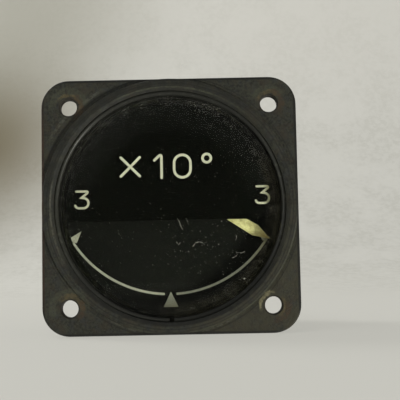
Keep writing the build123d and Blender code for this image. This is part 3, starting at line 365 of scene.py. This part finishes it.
def luminous_paint():
    """Zinc sulphide paint, brushed thick on an aluminium blade: chalky pale yellow with a grain
    of crystals. Its outer end is darker and browner: a painted shadow of the bezel."""
    material, tree, place = bare("yellow luminous paint")
    reach, _ = round_line(tree, place, (0.0, PIVOT_HEIGHT))
    crystals = blotches(tree, place, 0.25)
    coat = add(tree, "Mix", {0: crystals, 6: tint("#DDDA98"), 7: tint("#EDEAB0")}, out=2, data_type="RGBA")
    coat = patches(tree, place, coat, "#ACA066", 1.6, 0.42, 0.68, 0.6)
    # painted shadow of the bezel, darker and browner over the outer end of the blade
    tip_shadow = add(tree, "MapRange", {"Value": reach, "From Min": 22.3, "From Max": 25.5})
    coat = patches(tree, place, coat, "#8E7D4C", 0.9, 0.25, 0.6, 0.8, tip_shadow)
    surface = add(tree, "BsdfPrincipled", {
        "Base Color": coat, "Roughness": 0.75, "IOR": 1.5, "Specular IOR Level": 0.3,
        "Normal": add(tree, "Bump", {"Height": crystals, "Distance": 0.05 * MM})})
    add(tree, "OutputMaterial", {"Surface": surface})
    return material


def screen_printed_enamel(name, dark, light):
    """White enamel printed through a screen: flat and chalky, with pinholes and a yellowed cast."""
    material, tree, place = bare(name)
    pinholes = blotches(tree, place, 0.22, 0.3, 0.62)
    surface = add(tree, "BsdfPrincipled", {
        "Base Color": add(tree, "Mix", {
            0: pinholes, 6: tint(dark), 7: tint(light)}, out=2, data_type="RGBA"),
        "Roughness": 0.7, "IOR": 1.5, "Specular IOR Level": 0.25,
        "Normal": add(tree, "Bump", {"Height": pinholes, "Distance": 0.015 * MM})})
    add(tree, "OutputMaterial", {"Surface": surface})
    return material


def dried_dust():
    """Dust and lint caught on the glass and in its scratches: pale grey, thinly covering."""
    material, tree, place = bare("dried dust")
    grains = add(tree, "TexNoise", {"Vector": place, "Scale": 1 / 0.15, "Detail": 3.0})
    lint = add(tree, "BsdfPrincipled", {
        "Base Color": add(tree, "Mix", {
            0: grains, 6: tint("#8C8B80"), 7: tint("#C9C8BC")}, out=2, data_type="RGBA"),
        "Roughness": 0.9, "IOR": 1.5, "Specular IOR Level": 0.2})
    add(tree, "OutputMaterial", {"Surface": add(tree, "MixShader", {
        0: blotches(tree, place, 0.5, 0.35, 0.65, 0.2, 0.8), 1: add(tree, "BsdfTransparent", {}), 2: lint})})
    return material


# Finishes of the works and the connector
def turned_metal(name, dark, light, roughness):
    """Metal turned on a lathe: bright, with rings of tool marks about the spindle. Real feed
    marks are 0.05 mm apart; they are drawn at 0.3 mm so that they show."""
    material, tree, place = bare(name)
    radius, _ = round_line(tree, place)
    _, depth, _ = add(tree, "SeparateXYZ", {0: place}).node.outputs
    along = add(tree, "Math", {0: radius, 1: depth}, operation="ADD")
    marks = add(tree, "TexNoise", {"W": along, "Scale": 1 / 0.3, "Detail": 2.0}, noise_dimensions="1D")
    surface = add(tree, "BsdfPrincipled", {
        "Base Color": patches(tree, place, tint(light), dark, 3.0, 0.4, 0.75),
        "Metallic": 1.0,
        "Roughness": add(tree, "MapRange", {
            "Value": marks, "To Min": roughness - 0.1, "To Max": roughness + 0.15}),
        "Normal": add(tree, "Bump", {"Height": marks, "Distance": 0.03 * MM})})
    add(tree, "OutputMaterial", {"Surface": surface})
    return material


def blackened_steel():
    """Steel screws, heated and quenched in oil: blue-black, with bare steel on slot and rim."""
    material, tree, place = bare("oil blackened steel")
    worn = blotches(tree, place, 0.7, 0.55, 0.7)
    surface = add(tree, "BsdfPrincipled", {
        "Base Color": add(tree, "Mix", {
            0: worn, 6: tint("#2E2E30"), 7: tint("#77756F")}, out=2, data_type="RGBA"),
        "Metallic": 1.0,
        "Roughness": add(tree, "MapRange", {"Value": worn, "To Min": 0.48, "To Max": 0.32}),
        "Normal": add(tree, "Bump", {"Height": worn, "Distance": 0.01 * MM})})
    add(tree, "OutputMaterial", {"Surface": surface})
    return material


def synthetic_ruby():
    """Corundum grown in a flame, cut and polished for bearings: clear deep pink."""
    material, tree, place = bare("synthetic ruby")
    surface = add(tree, "BsdfPrincipled", {
        "Base Color": patches(tree, place, tint("#B01838"), "#D23A58", 0.8, 0.3, 0.7),
        "Roughness": 0.03, "IOR": 1.77, "Transmission Weight": 0.85})
    add(tree, "OutputMaterial", {"Surface": surface})
    return material


def emery_finished_aluminium(name, dark, light, grit):
    """Aluminium alloy, satin finished with emery: a soft grey with fine scratches one way, grit
    mm apart, and darker where fingers and damp have been."""
    material, tree, place = bare(name)
    drawn_out = add(tree, "Mapping", {"Vector": place, "Scale": (1 / grit, 1 / grit, 0.12)})
    lines = add(tree, "TexNoise", {"Vector": drawn_out, "Scale": 1.0, "Detail": 2.0})
    surface = add(tree, "BsdfPrincipled", {
        "Base Color": patches(tree, place, tint(light), dark, 2.2, 0.42, 0.75),
        "Metallic": 1.0,
        "Roughness": add(tree, "MapRange", {"Value": lines, "To Min": 0.26, "To Max": 0.5}),
        "Normal": add(tree, "Bump", {"Height": lines, "Distance": 0.012 * MM})})
    add(tree, "OutputMaterial", {"Surface": surface})
    return material


def annealed_nickel_iron():
    """Soft nickel iron sheet, annealed after forming: dull grey with straw and violet heat tints,
    in laminations of 0.35 mm."""
    material, tree, place = bare("annealed nickel iron")
    coat = patches(tree, place, tint("#9A9894"), "#8A8290", 6.0, 0.4, 0.7)
    coat = patches(tree, place, coat, "#9C8B6C", 4.0, 0.62, 0.78)
    leaves = add(tree, "TexWave", {"Vector": place, "Scale": 0.3 / 0.35}, out="Fac", bands_direction="Y")
    surface = add(tree, "BsdfPrincipled", {
        "Base Color": coat, "Metallic": 1.0, "Roughness": 0.5,
        "Normal": add(tree, "Bump", {"Height": leaves, "Distance": 0.02 * MM})})
    add(tree, "OutputMaterial", {"Surface": surface})
    return material


def enamelled_copper_wire():
    """Copper wire in amber enamel, wound side by side round the ring core. The real 0.1 mm wire
    is drawn as turns of one degree, about 0.25 mm, so that it shows."""
    material, tree, place = bare("enamelled copper wire")
    _, direction = round_line(tree, place)
    phase = add(tree, "Math", {0: direction, 1: math.tau}, operation="MULTIPLY")
    turns = add(tree, "Math", {0: phase}, operation="SINE")
    strand = add(tree, "MapRange", {"Value": turns, "From Min": -1.0}, interpolation_type="SMOOTHSTEP")
    surface = add(tree, "BsdfPrincipled", {
        "Base Color": add(tree, "Mix", {
            0: strand, 6: tint("#5A2412"), 7: tint("#B25A2C")}, out=2, data_type="RGBA"),
        "Metallic": 0.55, "Roughness": 0.28, "IOR": 1.55, "Coat Weight": 0.5, "Coat Roughness": 0.15,
        "Normal": add(tree, "Bump", {"Height": strand, "Distance": 0.08 * MM})})
    add(tree, "OutputMaterial", {"Surface": surface})
    return material


def cast_alnico():
    """Magnet alloy, cast and ground only on its working faces: coarse dark grey grain."""
    material, tree, place = bare("cast magnet alloy")
    grain = blotches(tree, place, 0.6, 0.3, 0.7)
    surface = add(tree, "BsdfPrincipled", {
        "Base Color": add(tree, "Mix", {
            0: grain, 6: tint("#4A4A4C"), 7: tint("#7C7B7A")}, out=2, data_type="RGBA"),
        "Metallic": 1.0, "Roughness": 0.55,
        "Normal": add(tree, "Bump", {"Height": grain, "Distance": 0.08 * MM})})
    add(tree, "OutputMaterial", {"Surface": surface})
    return material


def silver_plate():
    """Brass pins and lugs, silver plated: warm white, tarnished yellow and brown in the corners."""
    material, tree, place = bare("tarnished silver plate")
    tarnish = blotches(tree, place, 1.1, 0.4, 0.72)
    surface = add(tree, "BsdfPrincipled", {
        "Base Color": add(tree, "Mix", {
            0: tarnish, 6: tint("#E2DFD4"), 7: tint("#A8946A")}, out=2, data_type="RGBA"),
        "Metallic": 1.0,
        "Roughness": add(tree, "MapRange", {"Value": tarnish, "To Min": 0.22, "To Max": 0.45})})
    add(tree, "OutputMaterial", {"Surface": surface})
    return material


def pressed_resin(name, dark, light, filler, relief):
    """Phenolic resin pressed with a filler, paper or wood flour: half gloss, clouded by it. filler
    is the size of its flecks and relief their height, both in mm."""
    material, tree, place = bare(name)
    flecks = blotches(tree, place, filler, 0.35, 0.72)
    surface = add(tree, "BsdfPrincipled", {
        "Base Color": add(tree, "Mix", {
            0: flecks, 6: tint(dark), 7: tint(light)}, out=2, data_type="RGBA"),
        "Roughness": 0.35, "IOR": 1.6, "Specular IOR Level": 0.5,
        "Normal": add(tree, "Bump", {"Height": flecks, "Distance": relief * MM})})
    add(tree, "OutputMaterial", {"Surface": surface})
    return material


finishes = {
    "moulding": sprayed_phenolic(),
    "ring_wire": enamelled_spring_wire(),
    "window": bloomed_plate_glass(),
    "rubber": moulded_rubber(),
    "black_paint": flat_black_enamel("flat black dial enamel", "#0E0F0E", "#191A18", 0.12),
    "pointer_paint": luminous_paint(),
    "brass": turned_metal("turned brass", "#8C6A38", "#D8B468", 0.3),
    "steel": turned_metal("turned steel", "#77756F", "#A9A8A4", 0.3),
    "dark_screw": blackened_steel(),
    "aluminium": emery_finished_aluminium("satin aluminium", "#A3A4A2", "#CFD0CF", 0.12),
    "jewel": synthetic_ruby(),
    "copper": turned_metal("turned copper", "#7E4630", "#D98C66", 0.32),
    "core_iron": annealed_nickel_iron(),
    "winding": enamelled_copper_wire(),
    "insulator": pressed_resin("paper phenolic laminate", "#5E3A1E", "#8A5A30", 0.8, 0.015),
    "magnet": cast_alnico(),
    "contact": silver_plate(),
    "connector_alloy": emery_finished_aluminium("satin aluminium alloy", "#7F7F7B", "#B4B4B0", 0.15),
    "connector_insert": pressed_resin("dark moulded phenolic", "#1C1512", "#3A2A20", 0.5, 0.01),
}
for subpart in frame["record"]["subparts"]:
    slots = frame["nodes"][subpart["node"]].data.materials
    slots.clear()
    slots.append(finishes[subpart["material_slot"]])

# the cover plate was sprayed a deeper black than the dial, and dust has settled in the sight ring
cover_enamel = flat_black_enamel("flat black cover enamel", "#030402", "#080907", 0.04)
frame["nodes"]["cover_plate"].data.materials[0] = cover_enamel
sight_enamel = flat_black_enamel("flat black sight ring enamel", "#060705", "#10110E", 0.7)
frame["nodes"]["sight_ring"].data.materials[0] = sight_enamel


# Pieces
def piece(name, shape, material):
    """Turns a worked bmesh into a piece that rides on the case."""
    bmesh.ops.recalc_face_normals(shape, faces=shape.faces)
    mesh = bpy.data.meshes.new(name)
    shape.to_mesh(mesh)
    shape.free()
    mesh.materials.append(material)
    made = bpy.data.objects.new(name, mesh)
    bpy.context.scene.collection.objects.link(made)
    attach(made, "case")
    return made


def arc(centre, radius, start, end, steps=12):
    """Points round a centre from start to end degrees."""
    sweep = [math.radians(start + (end - start) * i / steps) for i in range(steps + 1)]
    return [(centre[0] + radius * math.cos(a), centre[1] + radius * math.sin(a)) for a in sweep]


def on_scale(radius, angle):
    """A point of the scale, at a radius in mm and an angle in degrees from straight down."""
    turn = math.radians(angle)
    middle = PIVOT_HEIGHT + SCALE_LIFT
    return SCALE_SHIFT + radius * math.sin(turn), middle - radius * math.cos(turn)


def joint_offset(before, point, after):
    """Half a stroke's offset at a joint, for a width of 2: across the stroke, and mitred."""
    into = (point - before).normalized()
    out = (after - point).normalized()
    across = Vector((-into.y - out.y, into.x + out.x)).normalized()
    return across / max(across.dot(Vector((-into.y, into.x))), 0.35)


def stroke(shape, path, width, closed=False, round_ends=True):
    """Adds one even stroke along a path of (x, z) points in mm to a flat bmesh."""
    path = [Vector(p) for p in path]
    last = len(path) - 1
    rows = []
    for i, point in enumerate(path):
        before = path[i - 1] if closed or i else point * 2 - path[1]
        after = path[(i + 1) % len(path)] if closed or i < last else point * 2 - path[i - 1]
        off = joint_offset(before, point, after) * width / 2
        rows.append([shape.verts.new((p.x, 0, p.y)) for p in (point + off, point - off)])
    for i in range(last + 1 if closed else last):
        (a, b), (c, d) = rows[i], rows[(i + 1) % len(rows)]
        shape.faces.new((a, c, d, b))
    if closed or not round_ends:
        return
    for row, point, away in (
            (rows[0], path[0], path[0] - path[1]), (rows[-1], path[-1], path[-1] - path[-2])):
        heading = math.degrees(math.atan2(away.y, away.x))
        cap = arc(point, width / 2, heading - 90, heading + 90, 8)[1:-1]
        near, far = sorted(row, key=lambda v: (Vector((v.co.x, v.co.z)) - Vector(cap[0])).length)
        shape.faces.new([near] + [shape.verts.new((p[0], 0, p[1])) for p in cap] + [far])


def outline(shape, corners):
    """Adds a filled flat figure to a flat bmesh."""
    shape.faces.new([shape.verts.new((x, 0, z)) for x, z in corners])


def printed(name, shape, face, material):
    """Gives a flat figure, drawn in mm, the thickness of the print and lays it on its face."""
    raised = bmesh.ops.extrude_face_region(shape, geom=list(shape.faces), use_keep_orig=True)
    for vert in (v for v in raised["geom"] if isinstance(v, bmesh.types.BMVert)):
        vert.co.y -= PRINT
    for vert in shape.verts:
        vert.co = Vector((vert.co.x * MM, face + vert.co.y * MM, vert.co.z * MM))
    return piece(name, shape, material)


def stuck(name, shape, material):
    """Lays a flat figure, drawn in mm, on the outside of the glass."""
    for vert in shape.verts:
        vert.co = Vector((vert.co.x * MM, GLASS_FACE - DUST * MM, vert.co.z * MM))
    return piece(name, shape, material)


# Numbers on the cover plate
def figure_three(left, low, wide, high):
    """A plain 3 with a flat top and a rounded knee, in one stroke."""
    bowl = high * 0.3
    knee = (left + 0.86 * wide, low + high - 0.25)
    return [(left + 0.1 * wide, low + high)] + arc(knee, 0.25, 90, -45, 6) + \
        [(left + 0.5 * wide, low + 2.08 * bowl)] + \
        arc((left + wide - bowl, low + bowl), bowl, 75, -90, 14) + \
        arc((left + bowl * 0.8, low + bowl * 0.8), bowl * 0.8, -90, -160, 6)


def figure_zero(left, low, wide, high):
    """A plain 0: two half rounds joined by straight sides."""
    half = wide / 2
    return arc((left + half, low + high - half), half, 180, 0, 14) + \
        arc((left + half, low + half), half, 0, -180, 14)


numbers = bmesh.new()
stroke(numbers, [(-11.7, 7.4), (-7.2, 11.9)], NUMBER_STROKE)              # the times sign
stroke(numbers, [(-11.7, 11.9), (-9.85, 10.05)], NUMBER_STROKE)
stroke(numbers, [(-9.05, 9.25), (-7.2, 7.4)], NUMBER_STROKE)
stroke(numbers, [(-3.7, 11.1)] + arc((-2.3, 12.0), 0.3, 120, 0, 6) + [(-2.0, 6.9)], NUMBER_STROKE)
stroke(numbers, figure_zero(1.0, 6.9, 3.9, 5.4), NUMBER_STROKE, closed=True)
stroke(numbers, arc((8.8, 11.4), 1.0, 0, 345, 23), NUMBER_STROKE, closed=True)      # the degree sign
numbers_enamel = screen_printed_enamel("printed number enamel", "#B4B5A2", "#D6D7C4")
printed("dial_numbers", numbers, COVER_FACE, numbers_enamel)

limits = bmesh.new()
stroke(limits, figure_three(-22.7, 0.0, 3.2, 4.0), SIDE_STROKE)
stroke(limits, figure_three(20.2, 0.4, 3.2, 4.0), SIDE_STROKE)
limits_enamel = screen_printed_enamel("printed limit enamel", "#A2A390", "#C4C5B0")
printed("limit_numbers", limits, COVER_FACE, limits_enamel)

# Scale on the dial: an arc each side of the zero triangle, each ending in a barb
scale = bmesh.new()
start = math.degrees(math.asin(1.4 / SCALE_RADIUS))
for side, barb in ((-1, ((26.75, 56.2), (28.15, 60.2), (24.3, 60.3))),
                   (1, ((26.9, 55.8), (28.0, 59.2), (24.25, 58.9)))):
    angles = [start + (SCALE_END - start) * i / 40 for i in range(41)]
    stroke(scale, [on_scale(SCALE_RADIUS, side * a) for a in angles], SCALE_STROKE, round_ends=False)
    outline(scale, [on_scale(radius, side * a) for radius, a in barb])
outline(scale, [(-0.35 + x, z) for x, z in ((0, -20.15), (1.75, -23.75), (-1.75, -23.75))])
scale_enamel = screen_printed_enamel("printed scale enamel", "#8C8D80", "#B2B3A4")
printed("dial_scale", scale, DIAL_FACE, scale_enamel)


# Dust and scratches on the outside of the glass
def flake(shape, x, z, size, seed):
    """Adds one ragged seven-sided speck, up to size mm from (x, z), to a flat bmesh."""
    corners = []
    for i in range(7):
        turn = math.tau * i / 7
        reach = size * seed.uniform(0.55, 1.0)
        corners.append((x + reach * math.cos(turn), z + reach * math.sin(turn)))
    outline(shape, corners)


seed = random.Random(41)
specks = bmesh.new()
for _ in range(130):                      # most lies inside the retaining ring, thicker at the top
    angle = math.radians(seed.gauss(80, 75))
    ring = 25.7 - abs(seed.gauss(0, 2.4))
    flake(specks, ring * math.cos(angle), ring * math.sin(angle), seed.uniform(0.04, 0.12), seed)
for _ in range(110):                      # some where the glass was wiped, low on the right
    flake(specks, seed.gauss(8, 7), seed.gauss(-9, 5.5), seed.uniform(0.03, 0.09), seed)
for _ in range(420):                      # and the finest everywhere
    flake(specks, seed.uniform(-22, 22), seed.uniform(-21, 14), seed.uniform(0.03, 0.09), seed)
for x, z, size in ((4.1, -10.9, 0.26), (17.0, -17.3, 0.34), (18.1, -17.7, 0.2), (12.0, -3.9, 0.16),
                   (6.9, -6.1, 0.16), (11.2, -9.3, 0.15), (12.1, -16.3, 0.15)):
    flake(specks, x, z, size, seed)
# where it has caught in clusters: direction, distance from the middle and spread in mm, and count
for direction, ring, spread, count in (
        (145, 25.0, 0.9, 20), (130, 24.9, 0.9, 22), (115, 24.8, 0.9, 24), (104, 25.1, 0.7, 20),
        (90, 24.9, 0.8, 24), (76, 24.5, 0.8, 24), (69, 24.6, 0.8, 26), (62, 25.0, 0.7, 22),
        (-46, 24.4, 1.0, 9), (-56, 24.6, 1.0, 10), (-66, 24.8, 1.0, 10), (-78, 25.0, 0.9, 8),
        (-38, 21.9, 0.9, 8), (-110, 24.8, 1.0, 10), (-128, 24.0, 1.0, 8)):
    for _ in range(count):
        x = ring * math.cos(math.radians(direction)) + seed.gauss(0, spread)
        z = ring * math.sin(math.radians(direction)) + seed.gauss(0, spread)
        inward = min(1.0, 25.9 / math.hypot(x, z))
        flake(specks, x * inward, z * inward, seed.uniform(0.04, 0.11), seed)
scratches = bmesh.new()
for width, path in (
        (0.15, [(5.2, -9.6), (5.7, -8.9), (6.6, -8.6), (7.4, -8.8), (7.8, -9.3)]),
        (0.1, [(1.6, -3.1), (2.1, -3.8), (2.3, -4.6), (2.8, -5.6)]),
        (0.08, [(3.7, -3.1), (4.0, -3.7), (4.2, -4.4)]),
        (0.1, [(15.3, -7.2), (15.4, -7.8), (15.2, -8.4)]),
        (0.11, [(14.3, -12.5), (15.1, -12.2), (15.5, -11.6), (15.2, -11.0)]),
        (0.09, [(15.6, -11.3), (16.4, -11.4), (17.2, -11.1)]),
        (0.07, [(1.3, -8.5), (1.8, -9.2), (2.3, -8.6)]),
        (0.06, [(-12.4, -6.0), (-11.7, -6.9), (-11.4, -7.5)]),
        (0.06, [(-4.9, 0.8), (-4.3, 0.2)])):
    stroke(scratches, path, width)
dust_finish = dried_dust()
stuck("glass_dust", specks, dust_finish)
stuck("glass_scratches", scratches, dust_finish)


# Split ring that holds the glass
def split_ring(radius, wire, depth, gap):
    """A round wire bent to a ring, with its gap at the bottom. Sizes in mm."""
    shape = bmesh.new()
    half = math.degrees(gap / 2 / radius)
    rows = []
    for i in range(241):
        turn = math.radians(-90 + half + (360 - 2 * half) * i / 240)
        row = []
        for off, out in arc((0.0, 0.0), wire / 2, 0, 345, 23):
            reach = (radius + out) * MM
            row.append(shape.verts.new((reach * math.cos(turn), (depth + off) * MM, reach * math.sin(turn))))
        rows.append(row)
    for a, b in zip(rows, rows[1:]):
        for j in range(24):
            k = (j + 1) % 24
            shape.faces.new((a[j], a[k], b[k], b[j])).smooth = True
    shape.faces.new(rows[0])
    shape.faces.new(reversed(rows[-1]))
    return shape


# the same wire in the same groove as the model's ring, but its ends stand only 1.1 mm apart
ring_low, ring_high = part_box("snap_ring")
ring_wire = (ring_high.y - ring_low.y) / MM
ring_radius = (ring_high.x - ring_low.x) / MM / 2 - ring_wire / 2
ring_depth = (ring_high.y + ring_low.y) / MM / 2
closed_ring = piece("split_ring", split_ring(ring_radius, ring_wire, ring_depth, 1.1),
                    finishes["ring_wire"])
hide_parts("snap_ring")


# Thread on the connector shell
def thread_ridge(start, end, pitch=1.0, steps=64):
    """A V thread about the spindle's line, from start to end mm along y."""
    shape = bmesh.new()
    turns = (end - start) / pitch - 1
    rows = []
    for i in range(int(turns * steps) + 1):
        angle = math.tau * i / steps
        run = min(1.0, i / steps * 2, (turns * steps - i) / steps * 2)     # fades in and out
        crest = THREAD_ROOT + (THREAD_CREST - THREAD_ROOT) * max(run, 0.02)
        row = []
        for offset, radius in ((0.02, THREAD_ROOT), (0.42, crest), (0.58, crest), (0.98, THREAD_ROOT)):
            y = start + pitch * (i / steps + offset)
            row.append(shape.verts.new((
                radius * math.cos(angle) * MM, y * MM, radius * math.sin(angle) * MM)))
        rows.append(row)
    for a, b in zip(rows, rows[1:]):
        for j in range(4):
            k = (j + 1) % 4
            shape.faces.new((a[j], a[k], b[k], b[j]))
    shape.faces.new(rows[0])
    shape.faces.new(reversed(rows[-1]))
    return shape


thread = thread_ridge(SHELL_END - 0.5 - THREAD_LENGTH, SHELL_END - 0.5)
piece("connector_thread", thread, finishes["connector_alloy"])


# Floor and backdrop, in metres
def paper_sweep():
    """A matt paper roll: floor in front, wall behind, with an easy curve between."""
    shape = bmesh.new()
    wall = 0.9
    bend = 0.45
    line = [(y, FLOOR) for y in (-1.6, -0.8, -0.3, 0.0, 0.3)]
    for i in range(25):
        turn = math.radians(90 * i / 24)
        line.append((wall - bend + bend * math.sin(turn), FLOOR + bend - bend * math.cos(turn)))
    line.append((wall, 2.2))
    rows = [[shape.verts.new((x, y, z)) for x in (-1.8, -0.6, 0.0, 0.6, 1.8)] for y, z in line]
    for a, b in zip(rows, rows[1:]):
        for j in range(4):
            shape.faces.new((a[j], a[j + 1], b[j + 1], b[j])).smooth = True
    mesh = bpy.data.meshes.new("paper_sweep")
    shape.to_mesh(mesh)
    shape.free()
    made = bpy.data.objects.new("paper_sweep", mesh)
    bpy.context.scene.collection.objects.link(made)
    return made


def backdrop_paper():
    """Matt warm white paper. On the wall a cast shadow is painted at the upper left, with painted
    shade round it, and a painted pool of light at the upper right.

    To the eye, gloss and glass most of it is drawn at its own brightness, so that it stays pale
    and even. The rest takes light, and keeps the shadow.
    """
    material, tree, place = bare("backdrop paper")
    _, depth, _ = add(tree, "SeparateXYZ", {0: place}).node.outputs
    wall = add(tree, "MapRange", {"Value": depth, "From Min": 300.0, "From Max": 600.0})
    paper = patches(tree, place, tint("#CECDC5"), "#C4C3BA", 6.0, 0.4, 0.62, 0.8, wall)
    paper = patches(tree, place, paper, "#D2D1C9", 60.0, 0.4, 0.62, 0.8, wall)
    # painted shade and light on the wall: a painted cast shadow, the shade round it, and a pool of light
    # colour, share, and the middle and half width of each spot, sideways and upwards in mm
    for colour, share, middle, size in (
            ("#7A7360", 1.0, (-250.0, 145.0), (160.0, 180.0)),
            ("#A7A598", 0.8, (-190.0, 330.0), (190.0, 190.0)),
            ("#D8D6CD", 0.6, (120.0, 330.0), (320.0, 220.0))):
        off = add(tree, "VectorMath", {0: place, 1: (middle[0], 0.0, middle[1])}, operation="SUBTRACT")
        shrunk = add(tree, "VectorMath", {
            0: off, 1: (1 / size[0], 0.0, 1 / size[1])}, operation="MULTIPLY")
        near = add(tree, "VectorMath", {0: shrunk}, out="Value", operation="LENGTH")
        shade_and_light_spot = add(tree, "MapRange", {
            "Value": near, "From Min": 1.15, "From Max": 0.1, "To Max": share},
            interpolation_type="SMOOTHSTEP")
        mask = add(tree, "Math", {0: shade_and_light_spot, 1: wall}, operation="MULTIPLY")
        paper = add(tree, "Mix", {0: mask, 6: paper, 7: tint(colour)}, out=2, data_type="RGBA")
    eye = add(tree, "LightPath", {}).node.outputs
    bounced = add(tree, "Math", {
        0: eye["Is Glossy Ray"], 1: eye["Is Transmission Ray"]}, operation="MAXIMUM")
    seen = add(tree, "Math", {0: eye["Is Camera Ray"], 1: bounced}, operation="MAXIMUM")
    drawn = add(tree, "Math", {0: seen, 1: 0.7}, operation="MULTIPLY")
    add(tree, "OutputMaterial", {"Surface": add(tree, "MixShader", {
        0: drawn, 1: add(tree, "BsdfDiffuse", {"Color": paper}),
        2: add(tree, "Emission", {"Color": paper, "Strength": 1.0})})})
    return material


sweep_ = paper_sweep()
sweep_.data.materials.append(backdrop_paper())
sweep_.visible_shadow = False    # so that the low lamp can shine from beyond its edge


# Lamps, in metres and watts
def lamp(name, place, size, power, colour="#FFFFFF"):
    """A round soft lamp that looks at the instrument."""
    light = bpy.data.lights.new(name, "AREA")
    light.shape = "DISK"
    light.size = size
    light.energy = power
    light.color = tint(colour)[:3]
    made = bpy.data.objects.new(name, light)
    made.location = place
    made.rotation_euler = (-Vector(place)).to_track_quat("-Z", "Y").to_euler()
    # the glass already lets shadow rays through, so it must not pass the lamp's light twice
    made.visible_transmission = False
    bpy.context.scene.collection.objects.link(made)
    return made


lamp("low_window", (0.676, -0.632, -0.578), 0.09, 8.5, "#FFFDF6")
lamp("ceiling_softbox", (-0.30, -0.70, 0.90), 0.6, 2.7, "#FCFDFF")
lamp("left_window", (-0.85, -0.58, 0.15), 0.14, 0.7, "#FCFDFF")
lamp("rear_softbox", (-0.75, 0.55, 0.7), 0.5, 7.0)

# The room: dim in front of the instrument, pale behind it
world = bpy.data.worlds.new("room")
bpy.context.scene.world = world
world.use_nodes = True
room = world.node_tree
room.nodes.clear()
_, depth, height = add(room, "SeparateXYZ", {0: add(room, "TexCoord", {}, out="Generated")}).node.outputs
behind = add(room, "MapRange", {"Value": depth, "From Min": -0.8, "From Max": 0.6})
above = add(room, "MapRange", {"Value": height, "From Max": 0.9, "To Max": 0.6})
pale = add(room, "Math", {0: behind, 1: above}, operation="MAXIMUM")
glow = add(room, "Mix", {0: pale, 6: tint("#4A4A48"), 7: tint("#BEBDB8")}, out=2, data_type="RGBA")
sky = add(room, "Mix", {0: add(room, "LightPath", {}, out="Is Camera Ray"), 6: glow, 7: tint("#CBCAC1")},
          out=2, data_type="RGBA")
add(room, "OutputWorld", {"Surface": add(room, "Background", {"Color": sky, "Strength": 1.0})})

# Camera: low on the right, tipped up a little, fitted to the outline and holes in the picture
camera = bpy.data.cameras.new("camera")
camera.lens = 81.0
camera.sensor_width = 36.0
camera.clip_start = 0.01
viewer = bpy.data.objects.new("camera", camera)
bpy.context.scene.collection.objects.link(viewer)
viewer.matrix_world = Matrix.Translation((0.00821, -0.21238, -0.01634)) @ (
    Matrix.Rotation(math.radians(0.324), 4, "Z") @ Matrix.Rotation(math.radians(94.763), 4, "X")
    @ Matrix.Rotation(math.radians(-1.132), 4, "Z"))
bpy.context.scene.camera = viewer
bpy.context.scene.view_settings.view_transform = "Standard"
